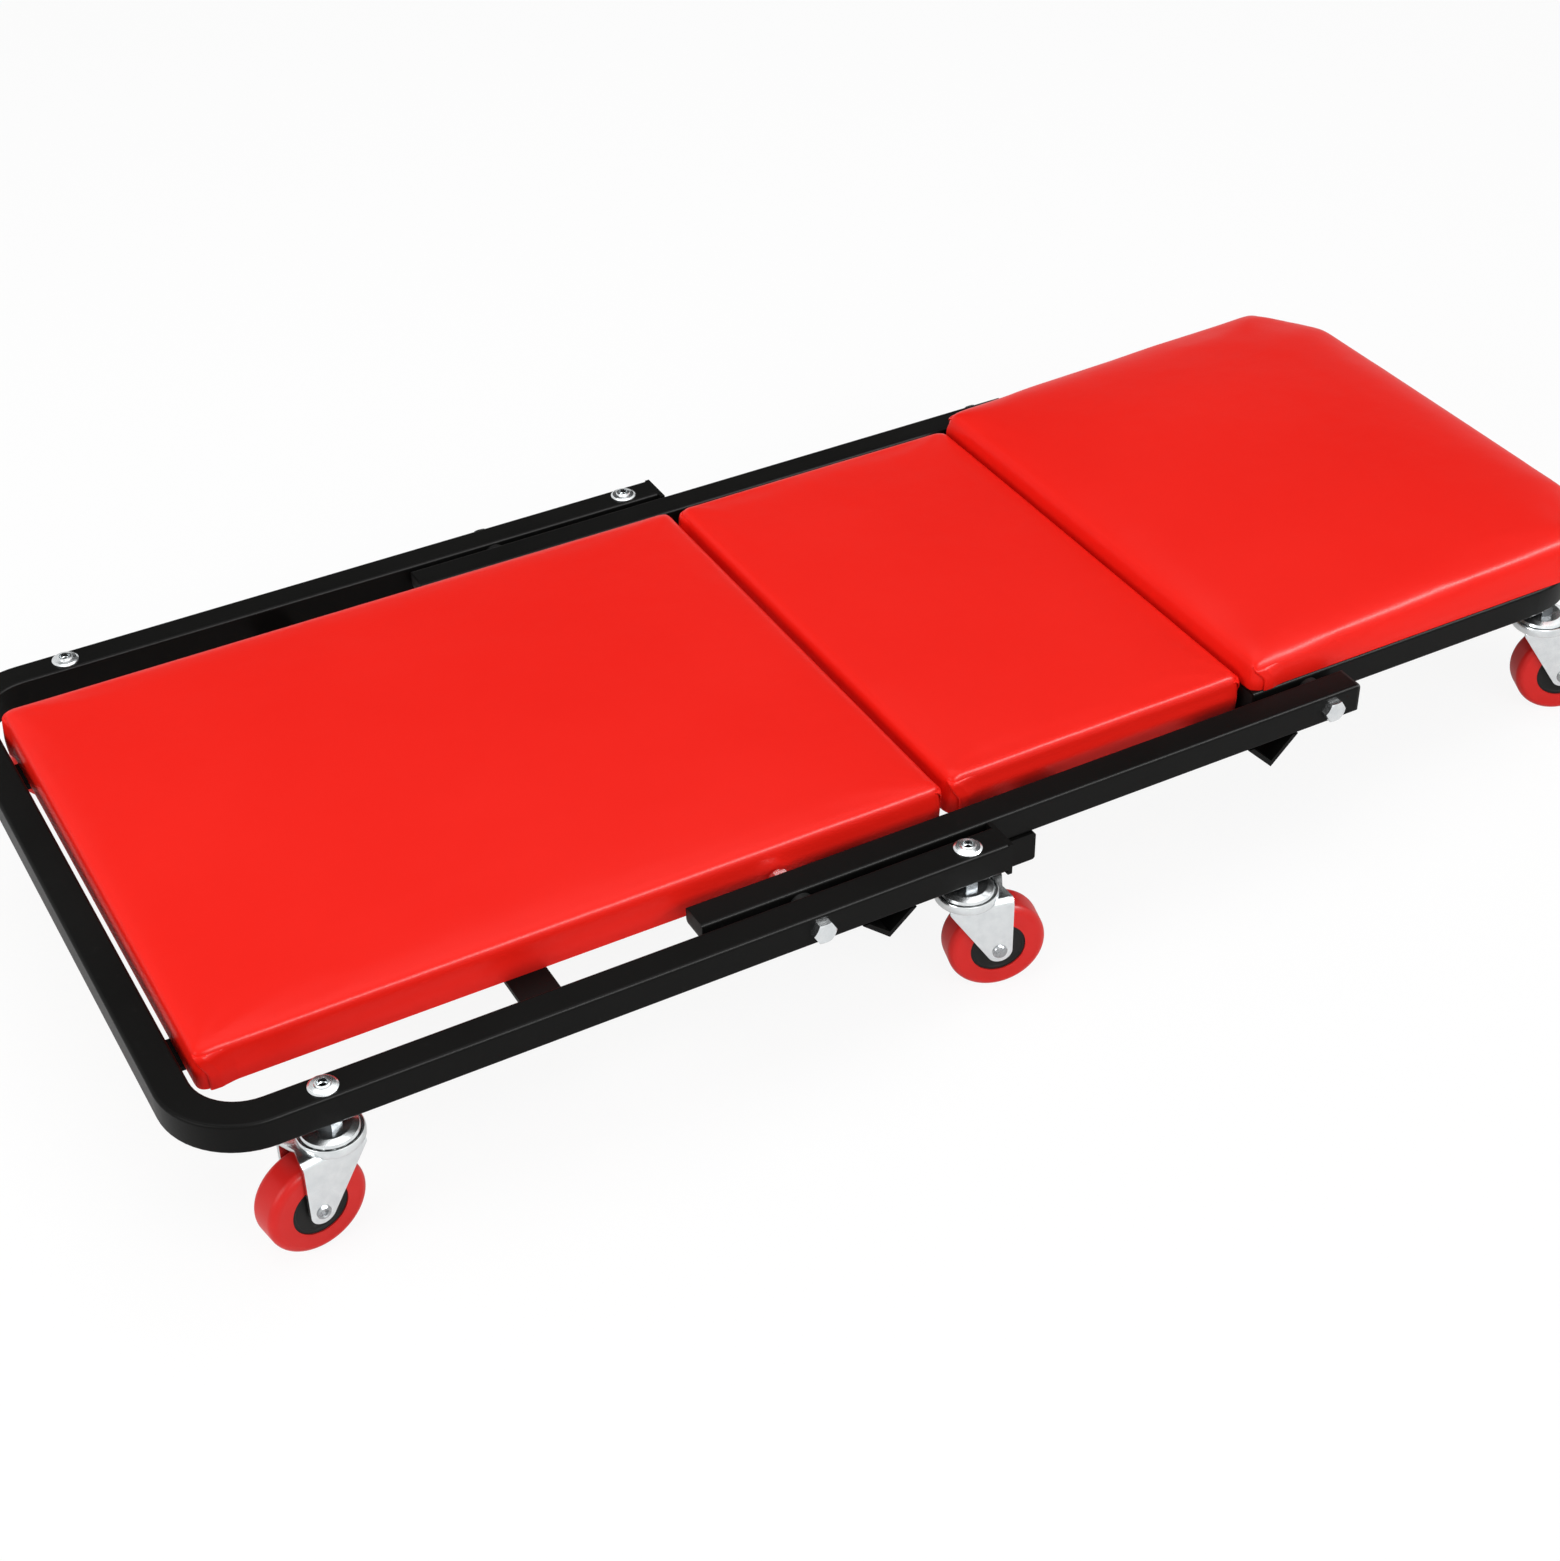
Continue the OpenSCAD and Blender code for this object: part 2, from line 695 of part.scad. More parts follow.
// Stem with the upper half of the swivel race, held under the fork by a rivet head
module caster_stem() {
    top = tube - stem_lead;
    translate([0, 0, crown_low - 1.6]) cylinder(h = top - crown_low + 1.6, r = stem_d / 2);
    translate([0, 0, crown_low - 1.6]) cylinder(h = 1.4, r1 = rivet_r - 1, r2 = rivet_r);
    difference() {
        rotate_extrude() polygon([
            [0, race_low], [race_d / 2 - 3, race_low], [race_d / 2 - 1.6, race_low + 1.4],
            [race_d / 2 - 2.4, race_low + 3], [race_d / 2 - 6, race_top - 0.2],
            [stem_d / 2 + 3, race_top], [0, race_top]
        ]);
        translate([0, 0, ball_z]) rotate_extrude()
            translate([ball_ring_r, 0]) circle(ball_d / 2 + 0.1, $fn = 32);
    }
}

module caster_stems(casters) {
    color(zinc) for (c = casters) translate([c[0], c[1], tube_under]) caster_stem();
}

// Hexagon nut locked against the underside of the tube
module stem_nut() {
    translate([0, 0, -stem_nut_h]) difference() {
        hex_bar(hex_af, stem_nut_h);
        translate([0, 0, -through]) cylinder(h = stem_nut_h + 2 * through, r = stem_d / 2 + snug);
    }
}

module stem_nuts(casters) {
    color(zinc) for (c = casters) translate([c[0], c[1], tube_under]) rotate(c[2] + 12) stem_nut();
}

module swivel_balls(casters) {
    color("#dfe2e4") for (c = casters, k = [0:ball_count - 1])
        translate([c[0], c[1], tube_under + ball_z]) rotate(360 / ball_count * k)
            translate([ball_ring_r, 0, 0]) sphere(ball_d / 2 - 0.05, $fn = 32);
}

module base_sleeve_nuts() {
    color(zinc) for (c = BASE_CASTERS) translate([c[0], c[1], tube_top]) sleeve_nut();
}
module base_caster_stems() { caster_stems(BASE_CASTERS); }
module base_caster_nuts() { stem_nuts(BASE_CASTERS); }
module base_swivel_balls() { swivel_balls(BASE_CASTERS); }
module head_sleeve_nuts() {
    color(zinc) for (c = HEAD_CASTERS) translate([c[0], c[1], tube_top]) flush_sleeve_nut();
}
module head_caster_stems() { caster_stems(HEAD_CASTERS); }
module head_caster_nuts() { stem_nuts(HEAD_CASTERS); }
module head_swivel_balls() { swivel_balls(HEAD_CASTERS); }

// Pivot hardware on both sides. Local z points inwards from the outer face of a frame.
module each_side(x, width) {
    for (s = [-1, 1])
        translate([x, s * width / 2, tube_mid]) rotate([s * 90, 0, 0]) children();
}

grip = 2 * tube + side_gap;
module pivot_bolt() {
    cylinder(h = grip + slack + nut_h + 1.5, r = bolt_d / 2);
    translate([0, 0, -bolt_head_h]) intersection() {
        hex_bar(hex_af, bolt_head_h);
        cylinder(h = bolt_head_h, r1 = hex_af / 2, r2 = hex_af / 2 + bolt_head_h * 1.6);
    }
}

module pivot_washers() {
    for (k = [0:2]) translate([0, 0, tube + k * head_washer_t]) difference() {
        cylinder(h = head_washer_t, r = washer_d / 2);
        translate([0, 0, -through])
            cylinder(h = head_washer_t + 2 * through, r = bolt_d / 2 + snug);
    }
}

// Locking nut with its round nylon collar
module pivot_nut() {
    translate([0, 0, grip + slack]) difference() {
        union() {
            hex_bar(hex_af, nut_h - 2);
            cylinder(h = nut_h, r = hex_af / 2 - 0.6);
        }
        translate([0, 0, -through]) cylinder(h = nut_h + 2 * through, r = bolt_d / 2 + snug);
    }
}

module front_pivot_bolts() { color(zinc) each_side(pivot_a, base_w) pivot_bolt(); }
module front_pivot_washers() { color(plastic) each_side(pivot_a, base_w) pivot_washers(); }
module front_pivot_nuts() { color(zinc) each_side(pivot_a, base_w) pivot_nut(); }
module rear_pivot_bolts() { color(zinc) each_side(pivot_b, middle_w) pivot_bolt(); }
module rear_pivot_washers() { color(plastic) each_side(pivot_b, middle_w) pivot_washers(); }
module rear_pivot_nuts() { color(zinc) each_side(pivot_b, middle_w) pivot_nut(); }

// Casters. Local +X points from the swivel axis to the axle, z = 0 is under the tube.

module at_caster(c) {
    translate([c[0], c[1], tube_under]) rotate(c[2]) children();
}

// Point where a straight cheek edge from p runs onto the rounding at the axle
function edge_point(p, side) =
    let (d = [trail, -axle_drop] - p,
         a = atan2(d[1], d[0]) + side * asin((cheek_r - 0.1) / norm(d)),
         l = sqrt(norm(d) * norm(d) - cheek_r * cheek_r))
    p + l * [cos(a), sin(a)];

// Outline of one cheek: wide under the crown, tapering to the axle
module cheek_profile() {
    back = [cheek_back, crown_low - 3];
    front = [cheek_front, crown_low - 2];
    polygon([
        [cheek_back + 2, crown_top], back, edge_point(back, -1), [trail, -axle_drop],
        edge_point(front, 1), front, [cheek_front - 2, crown_top]
    ]);
    translate([trail, -axle_drop]) circle(cheek_r);
}

module caster_fork() {
    race_r = race_d / 2;
    color(zinc) difference() {
        union() {
            for (s = [-1, 1]) translate([0, s * (cheek_gap + fork_t / 2) + fork_t / 2, 0])
                rotate([90, 0, 0]) linear_extrude(fork_t) cheek_profile();
            translate([cheek_back + 2, -cheek_gap - fork_t / 2, crown_low])
                cube([cheek_front - cheek_back - 4, 2 * cheek_gap + fork_t, fork_t]);
            // raised cup round the lower race
            rotate_extrude() polygon([
                [stem_d / 2 + running, crown_low], [race_r, crown_low],
                [race_r, crown_top + 0.6], [race_r - 0.8, race_low + 0.4],
                [race_r - 1.3, race_low + 0.4], [race_r - 2.2, crown_top],
                [stem_d / 2 + running, crown_top]
            ]);
        }
        translate([0, 0, crown_low - through])
            cylinder(h = 20, r = stem_d / 2 + running);
        translate([0, 0, ball_z]) rotate_extrude()
            translate([ball_ring_r, 0]) circle(ball_d / 2 + 0.1, $fn = 32);
        translate([trail, 0, -axle_drop]) rotate([90, 0, 0])
            cylinder(h = 60, r = axle_d / 2 + snug, center = true);
    }
}

// Axle with a domed head outside one cheek, and its end rolled over outside the other
module caster_axle() {
    half = cheek_gap + fork_t;
    color(zinc) translate([trail, 0, -axle_drop]) rotate([90, 0, 0]) {
        cylinder(h = 2 * half, r = axle_d / 2, center = true);
        translate([0, 0, half]) rotate_extrude() polygon([
            [0, 0], [axle_d / 2 + 1.5, 0], [axle_d / 2 + 1.5, 0.6], [axle_d / 2 + 0.9, 1.5],
            [axle_d / 2 - 0.6, 2.1], [0, 2.3]
        ]);
        mirror([0, 0, 1]) translate([0, 0, half]) rotate_extrude() polygon([
            [0, 0], [axle_d / 2 + 1.3, 0], [axle_d / 2 + 1.3, 0.5], [axle_d / 2 + 0.6, 1.4],
            [axle_d / 2 - 0.2, 1.6], [axle_d / 2 - 0.9, 1.1], [axle_d / 2 - 1.1, 0.1], [0, 0.1]
        ]);
    }
}

// Moulded wheel centre: rim, thin web, and a boss on the axle
module caster_hub() {
    boss_r = axle_d / 2 + 4;
    w = wheel_w / 2 - 0.8;
    color(plastic) translate([trail, 0, -axle_drop]) rotate([90, 0, 0]) difference() {
        rotate_extrude() polygon([
            [axle_d / 2 + running, -cheek_gap + slack], [boss_r, -cheek_gap + slack],
            [boss_r, -w + 0.4], [hub_d / 2 - 2.5, -w + 0.4], [hub_d / 2 - 1.7, -w],
            [hub_d / 2, -w], [hub_d / 2, w],
            [hub_d / 2 - 1.7, w], [hub_d / 2 - 2.5, w - 0.4], [boss_r, w - 0.4],
            [boss_r, cheek_gap - slack], [axle_d / 2 + running, cheek_gap - slack]
        ]);
    }
}

// Ring of polyurethane with rounded shoulders
module caster_tyre() {
    w = wheel_w / 2;
    r = tyre_round;
    color(red) translate([trail, 0, -axle_drop]) rotate([90, 0, 0])
        rotate_extrude() difference() {
            union() {
                translate([hub_d / 2, -w]) square([wheel_r - r - hub_d / 2, 2 * w]);
                translate([hub_d / 2, -w + r]) square([wheel_r - hub_d / 2, 2 * (w - r)]);
                for (s = [-1, 1]) translate([wheel_r - r, s * (w - r)]) circle(r);
            }
        }
}

module foot_left_fork() { at_caster(FOOT_L) caster_fork(); }
module foot_left_axle() { at_caster(FOOT_L) caster_axle(); }
module foot_left_hub() { at_caster(FOOT_L) caster_hub(); }
module foot_left_tyre() { at_caster(FOOT_L) caster_tyre(); }
module foot_right_fork() { at_caster(FOOT_R) caster_fork(); }
module foot_right_axle() { at_caster(FOOT_R) caster_axle(); }
module foot_right_hub() { at_caster(FOOT_R) caster_hub(); }
module foot_right_tyre() { at_caster(FOOT_R) caster_tyre(); }
module mid_left_fork() { at_caster(MID_L) caster_fork(); }
module mid_left_axle() { at_caster(MID_L) caster_axle(); }
module mid_left_hub() { at_caster(MID_L) caster_hub(); }
module mid_left_tyre() { at_caster(MID_L) caster_tyre(); }
module mid_right_fork() { at_caster(MID_R) caster_fork(); }
module mid_right_axle() { at_caster(MID_R) caster_axle(); }
module mid_right_hub() { at_caster(MID_R) caster_hub(); }
module mid_right_tyre() { at_caster(MID_R) caster_tyre(); }
module head_left_fork() { at_caster(HEAD_L) caster_fork(); }
module head_left_axle() { at_caster(HEAD_L) caster_axle(); }
module head_left_hub() { at_caster(HEAD_L) caster_hub(); }
module head_left_tyre() { at_caster(HEAD_L) caster_tyre(); }
module head_right_fork() { at_caster(HEAD_R) caster_fork(); }
module head_right_axle() { at_caster(HEAD_R) caster_axle(); }
module head_right_hub() { at_caster(HEAD_R) caster_hub(); }
module head_right_tyre() { at_caster(HEAD_R) caster_tyre(); }

base_tube();
base_end_plates();
base_pad_strips();
base_stop_bar();
base_rest_bar();
foot_pad_board();
foot_pad_cushion();
foot_pad_screws();
base_sleeve_nuts();
base_caster_stems();
base_caster_nuts();
base_swivel_balls();
front_pivot_bolts();
front_pivot_washers();
front_pivot_nuts();
middle_left_tube();
middle_right_tube();
middle_tube_plugs();
middle_pad_strips();
middle_stop_bar();
middle_pad_board();
middle_pad_cushion();
middle_pad_screws();
rear_pivot_bolts();
rear_pivot_washers();
rear_pivot_nuts();
head_tube();
head_tube_plugs();
head_cross_strips();
head_pad_board();
head_pad_cushion();
head_pad_screws();
head_sleeve_nuts();
head_caster_stems();
head_caster_nuts();
head_swivel_balls();
foot_left_fork();
foot_left_axle();
foot_left_hub();
foot_left_tyre();
foot_right_fork();
foot_right_axle();
foot_right_hub();
foot_right_tyre();
mid_left_fork();
mid_left_axle();
mid_left_hub();
mid_left_tyre();
mid_right_fork();
mid_right_axle();
mid_right_hub();
mid_right_tyre();
head_left_fork();
head_left_axle();
head_left_hub();
head_left_tyre();
head_right_fork();
head_right_axle();
head_right_hub();
head_right_tyre();
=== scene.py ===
import json
import math

import bmesh
import bpy
from mathutils import Euler, Matrix, Vector


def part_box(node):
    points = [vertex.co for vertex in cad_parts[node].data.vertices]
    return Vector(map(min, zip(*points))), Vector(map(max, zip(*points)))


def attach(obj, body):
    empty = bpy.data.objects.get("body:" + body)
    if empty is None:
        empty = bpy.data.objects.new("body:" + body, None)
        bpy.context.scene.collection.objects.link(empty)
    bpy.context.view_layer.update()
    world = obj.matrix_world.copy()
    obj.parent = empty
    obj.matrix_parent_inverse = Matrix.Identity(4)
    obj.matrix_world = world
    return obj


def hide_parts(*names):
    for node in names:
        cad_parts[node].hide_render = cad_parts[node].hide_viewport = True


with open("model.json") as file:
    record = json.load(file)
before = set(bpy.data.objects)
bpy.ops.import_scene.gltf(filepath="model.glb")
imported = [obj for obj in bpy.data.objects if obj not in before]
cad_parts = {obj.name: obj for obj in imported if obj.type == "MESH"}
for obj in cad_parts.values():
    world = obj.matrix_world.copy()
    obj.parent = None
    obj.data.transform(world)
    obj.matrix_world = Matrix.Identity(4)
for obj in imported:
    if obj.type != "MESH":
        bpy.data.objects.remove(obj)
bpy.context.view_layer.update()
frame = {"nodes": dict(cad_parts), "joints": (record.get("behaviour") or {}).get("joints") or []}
parts = frame["nodes"]

# The camera stands at the photographer's place: left of the foot end and about a metre up,
# with a long lens. Its turn, tilt and roll in degrees were solved from the frame's straight
# edges.
CAMERA_PLACE = Vector((-0.7033, -1.2462, 1.0880))
TILT_DOWN = 37.499
TURN = -28.367
ROLL = -0.975
LENS_LENGTH = 62.43
FILM_WIDTH = 36

lens = bpy.data.cameras.new("catalogue_camera")
lens.sensor_width = FILM_WIDTH
lens.lens = LENS_LENGTH
camera = bpy.data.objects.new("catalogue_camera", lens)
bpy.context.scene.collection.objects.link(camera)
tilt = Euler((math.radians(90 - TILT_DOWN), 0, 0)).to_matrix()
turn = Euler((0, 0, math.radians(TURN))).to_matrix()
roll = Euler((0, 0, math.radians(ROLL))).to_matrix()
camera.matrix_world = Matrix.Translation(CAMERA_PLACE) @ (turn @ tilt @ roll).to_4x4()
bpy.context.scene.camera = camera
bpy.context.scene.view_settings.view_transform = "Standard"


# Lamps: large soft boxes overhead, in front and past the foot end, and a narrow strip that
# draws bright lines along the near edges. The front box lights the pads and isn't mirrored.
CREEPER_MIDDLE = Vector((0, 0, 0.1))
FOOT_PAD_MIDDLE = Vector((-0.2, 0, 0.1))


def soft_box(name, place, aim, size, watts):
    lamp = bpy.data.lights.new(name, "AREA")
    lamp.shape = "RECTANGLE"
    lamp.size, lamp.size_y = size
    lamp.energy = watts
    box = bpy.data.objects.new(name, lamp)
    bpy.context.scene.collection.objects.link(box)
    box.location = place
    box.rotation_euler = (aim - Vector(place)).to_track_quat("-Z", "Y").to_euler()
    return box


soft_box("overhead_box", (-0.1, 0.3, 2.0), CREEPER_MIDDLE, size=(2.2, 1.6), watts=20)
front_box = soft_box("front_box", (0.5, -2.0, 1.0), CREEPER_MIDDLE, size=(2.0, 0.9), watts=22)
front_box.visible_glossy = False
edge_strip = soft_box("edge_strip", (0.75, -1.30, 1.55), CREEPER_MIDDLE, size=(2.8, 0.14), watts=150)
edge_strip.visible_diffuse = False
soft_box("foot_end_box", (-2.2, -0.5, 1.1), FOOT_PAD_MIDDLE, size=(1.2, 0.9), watts=20)


# A dark card stands beyond the far side, out of the picture. Only the level tops mirror it,
# as they do the unlit end of a studio.
class Nodes:
    """The shader nodes of one material or of the room, added by kind, settings and sockets."""

    def __init__(self, owner):
        owner.use_nodes = True
        self.owner = owner
        self.tree = owner.node_tree
        self.tree.nodes.clear()

    def add(self, kind, settings=(), **sockets):
        node = self.tree.nodes.new(kind)
        for key, value in dict(settings).items():
            setattr(node, key, value)
        for key, value in sockets.items():
            numbered = key[0] == "i" and key[1:].isdigit()
            socket = node.inputs[int(key[1:]) if numbered else key.replace("_", " ")]
            if isinstance(value, Level):
                self.tree.links.new(value.socket, socket)
            elif isinstance(value, bpy.types.NodeSocket):
                self.tree.links.new(value, socket)
            elif isinstance(value, tuple) and len(value) == 3 and len(socket.default_value) == 4:
                socket.default_value = (*value, 1)
            else:
                socket.default_value = value
        return Sockets(self, node)


class Sockets:
    """What one node gives, by name: as a link, or as a level to reckon with."""

    def __init__(self, nodes, node):
        self.nodes, self.node = nodes, node

    def __getitem__(self, name):
        return self.node.outputs[name]

    def level(self, name):
        return Level(self.nodes, self.node.outputs[name])


class Level:
    """A number that varies over a surface. Plain arithmetic on it adds its Math nodes."""

    def __init__(self, nodes, socket):
        self.nodes, self.socket = nodes, socket

    def math(self, operation, first, second):
        made = self.nodes.add("ShaderNodeMath", {"operation": operation}, i0=first, i1=second)
        return made.level("Value")

    def __add__(self, other):
        return self.math("ADD", self, other)

    def __rsub__(self, other):
        return self.math("SUBTRACT", other, self)

    def __mul__(self, other):
        return self.math("MULTIPLY", self, other)

    def either(self, other):
        return self.math("MAXIMUM", self, other)

    def over(self, low, high):
        made = self.nodes.add("ShaderNodeMapRange", {"clamp": True}, Value=self,
                              From_Min=low, From_Max=high, To_Min=0.0, To_Max=1.0)
        return made.level("Result")

    __radd__ = __add__
    __rmul__ = __mul__


CARD_PLACE = Vector((1.6, 2.9, 2.6))
CARD_SIZE = (4.6, 3.4, 1)

bpy.ops.object.select_all(action="DESELECT")
bpy.ops.mesh.primitive_plane_add(size=1, location=CARD_PLACE)
card = bpy.context.object
card.name = "dark_card"
card.scale = CARD_SIZE
card.rotation_euler = (CARD_PLACE - CREEPER_MIDDLE).to_track_quat("Z", "Y").to_euler()
card.visible_camera = card.visible_diffuse = card.visible_shadow = False
card_black = Nodes(bpy.data.materials.new("dark_card"))
matt = card_black.add("ShaderNodeBsdfPrincipled", Base_Color=(0.02, 0.02, 0.02), Roughness=1.0)
card_black.add("ShaderNodeOutputMaterial", Surface=matt["BSDF"])
card.data.materials.append(card_black.owner)


# The room is white wherever it is looked at or mirrored, and gives a plain dim light besides.
WHITE = (1, 1, 1)
ROOM_LIGHT = 0.42

room = bpy.data.worlds.new("white_room")
bpy.context.scene.world = room
air = Nodes(room)
rays = air.add("ShaderNodeLightPath")
looked_at = rays.level("Is Camera Ray").either(rays.level("Is Glossy Ray"))
looked_at = looked_at.either(rays.level("Is Transmission Ray"))
lit = air.add("ShaderNodeBackground", Color=WHITE, Strength=ROOM_LIGHT)
shown = air.add("ShaderNodeBackground", Color=WHITE, Strength=1.0)
either_way = air.add("ShaderNodeMixShader", Fac=looked_at, i1=lit["Background"], i2=shown["Background"])
air.add("ShaderNodeOutputWorld", Surface=either_way["Shader"])


# The studio floor is a white sheet. It shows nine tenths white of its own, so that a faint
# shadow stays under the creeper, and is mirrored at less than half that strength.
FLOOR_SIZE = 12
FLOOR_GREY = (0.9, 0.9, 0.9)
SHOWN_SHARE = 0.9
MIRRORED_SHARE = 0.45

bpy.ops.object.select_all(action="DESELECT")
bpy.ops.mesh.primitive_plane_add(size=FLOOR_SIZE, location=(0, 0, 0))
floor = bpy.context.object
floor.name = "studio_floor"
sheet_white = Nodes(bpy.data.materials.new("studio_floor_white"))
rays = sheet_white.add("ShaderNodeLightPath")
looked_at = rays.level("Is Camera Ray").either(rays.level("Is Glossy Ray") * MIRRORED_SHARE)
looked_at = looked_at.either(rays.level("Is Transmission Ray")) * SHOWN_SHARE
lit = sheet_white.add("ShaderNodeBsdfDiffuse", Color=FLOOR_GREY)
shown = sheet_white.add("ShaderNodeEmission", Color=WHITE, Strength=1.0)
either_way = sheet_white.add("ShaderNodeMixShader", Fac=looked_at, i1=lit["BSDF"], i2=shown["Emission"])
sheet_white.add("ShaderNodeOutputMaterial", Surface=either_way["Shader"])
floor.data.materials.append(sheet_white.owner)


# Black frame: square steel tube, flat strips and angle, welded and powder coated in satin
# black. The coat is slightly pebbled, with duller dust in it here and there.
class Paint(Nodes):
    """One finish of the creeper, with its patterns laid out in metres on the piece."""

    def __init__(self, name):
        super().__init__(bpy.data.materials.new(name))
        self.place = self.add("ShaderNodeTexCoord")["Object"]

    def height(self):
        return self.add("ShaderNodeSeparateXYZ", Vector=self.place).level("Z")

    def noise(self, size, detail=3.0, rough=0.5, place=None):
        made = self.add("ShaderNodeTexNoise", Vector=place or self.place, Scale=1 / size,
                        Detail=detail, Roughness=rough)
        return made.level("Fac")

    def mix(self, share, first, second):
        # a Mix node's colours are its sockets 6 and 7, and the mixed colour is its third output
        made = self.add("ShaderNodeMix", {"data_type": "RGBA"}, i0=share, i6=first, i7=second)
        return made.node.outputs[2]

    def bump(self, height, strength, depth):
        return self.add("ShaderNodeBump", Height=height, Strength=strength, Distance=depth)["Normal"]

    def finish(self, **sockets):
        coat = self.add("ShaderNodeBsdfPrincipled", **sockets)
        self.add("ShaderNodeOutputMaterial", Surface=coat["BSDF"])
        return self.owner


def powder_coat():
    p = Paint("black_powder_coat")
    pebble = p.noise(0.0016, detail=2.0)
    cloud = p.noise(0.09)
    dust = p.noise(0.004, detail=4.0, rough=0.6).over(0.62, 0.8)
    black, worn_black, dusty = (0.0022, 0.0022, 0.0020), (0.0042, 0.0041, 0.0038), (0.010, 0.010, 0.009)
    colour = p.mix(dust * 0.3, p.mix(cloud, black, worn_black), dusty)
    return p.finish(Base_Color=colour, Roughness=0.34 + cloud * 0.10 + dust * 0.12,
                    Specular_IOR_Level=0.07, Normal=p.bump(pebble, strength=0.16, depth=0.0002))


def wear(node, finish):
    """Gives a piece of the creeper its finish."""
    piece = parts[node]
    piece.data.materials.clear()
    piece.data.materials.append(finish)


black_coat = powder_coat()
for name in (
    "base_tube", "base_end_plates", "base_pad_strips", "base_stop_bar", "base_rest_bar",
    "middle_left_tube", "middle_right_tube", "middle_pad_strips", "middle_stop_bar",
    "head_tube", "head_cross_strips",
):
    wear(name, black_coat)


# Plugs and spacing washers: black polypropylene caps pressed into the open ends of the
# tubes, and nylon rings between the nested tubes at each pivot. Matt from the mould.
def moulded_black():
    p = Paint("moulded_black_plastic")
    grain = p.noise(0.0012, rough=0.6)
    cloud = p.noise(0.03, detail=2.0)
    black, dusty_black = (0.006, 0.006, 0.006), (0.012, 0.012, 0.0115)
    colour = p.mix(cloud, black, dusty_black)
    return p.finish(Base_Color=colour, Roughness=0.42 + grain * 0.16,
                    Specular_IOR_Level=0.15, Normal=p.bump(grain, strength=0.2, depth=0.0002))


moulded_plastic = moulded_black()
for name in ("middle_tube_plugs", "head_tube_plugs", "front_pivot_washers", "rear_pivot_washers"):
    wear(name, moulded_plastic)


# Zinc-plated steel: bolts, nuts, screws, stems and sleeve nuts. Bright bluish plate with
# faint passivation clouds. Inside the tube, down the sockets of the sleeve nuts and up the
# threads that they hold, the plate is painted dark as shade.
tube_low, tube_high = (corner.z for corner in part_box("base_tube"))
# height spans over which painted shade turns the zinc dark: in the sockets below the tube's top, and on
# the threads above its underside
SOCKET_PAINTED_SHADE = (tube_high + 0.0002, tube_high - 0.0002)
THREAD_PAINTED_SHADE = (tube_low + 0.0005, tube_low + 0.0020)


def bright_zinc(name, painted_shade_span=None):
    p = Paint(name)
    cloud = p.noise(0.006, detail=4.0, rough=0.6)
    fine = p.noise(0.0009, detail=2.0)
    clouded, bright, unlit = (0.57, 0.60, 0.62), (0.79, 0.81, 0.81), (0.020, 0.022, 0.024)
    colour = p.mix(cloud, clouded, bright)
    # painted shade: past the span of height the plate turns to the unlit colour
    if painted_shade_span:
        colour = p.mix(p.height().over(*painted_shade_span), colour, unlit)
    return p.finish(Base_Color=colour, Metallic=1.0, Roughness=0.16 + cloud * 0.16,
                    Normal=p.bump(fine, strength=0.1, depth=0.0001))


zinc = bright_zinc("bright_zinc_plate")
for name in (
    "foot_pad_screws", "middle_pad_screws", "head_pad_screws", "front_pivot_bolts",
    "front_pivot_nuts", "rear_pivot_bolts", "rear_pivot_nuts",
):
    wear(name, zinc)
# the sleeve nuts' sockets get painted shade below the tube's top
zinc_with_socket_shade = bright_zinc("zinc_with_painted_socket_shade", SOCKET_PAINTED_SHADE)
for name in ("base_sleeve_nuts", "head_sleeve_nuts"):
    wear(name, zinc_with_socket_shade)
# the stems get painted shade up their threads inside the tube
zinc_with_thread_shade = bright_zinc("zinc_with_painted_thread_shade", THREAD_PAINTED_SHADE)
for name in ("base_caster_stems", "head_caster_stems"):
    wear(name, zinc_with_thread_shade)


# Lock nuts of the stems: the same plate, painted dark in clouded tones as the shade that falls on them
# under the tube.
def shade_darkened_zinc():
    p = Paint("zinc_plate_in_painted_shade")
    shade_cloud = p.noise(0.005, detail=4.0, rough=0.6)
    # painted shade from the tube above, in two clouded tones
    deep_painted_shade, paler_painted_shade = (0.035, 0.038, 0.040), (0.10, 0.105, 0.11)
    colour = p.mix(shade_cloud, deep_painted_shade, paler_painted_shade)
    return p.finish(Base_Color=colour, Metallic=1.0, Roughness=0.2 + shade_cloud * 0.2)


zinc_in_painted_shade = shade_darkened_zinc()
# the lock nuts get painted shade
for name in ("base_caster_nuts", "head_caster_nuts"):
    wear(name, zinc_in_painted_shade)


# Bearing balls: polished steel, greased between the races.
def polished_steel():
    p = Paint("polished_bearing_steel")
    film = p.noise(0.002, detail=2.0)
    oily_steel, clean_steel = (0.62, 0.62, 0.60), (0.74, 0.74, 0.73)
    colour = p.mix(film, oily_steel, clean_steel)
    return p.finish(Base_Color=colour, Metallic=1.0, Roughness=0.06 + film * 0.1)


ball_steel = polished_steel()
for name in ("base_swivel_balls", "head_swivel_balls"):
    wear(name, ball_steel)


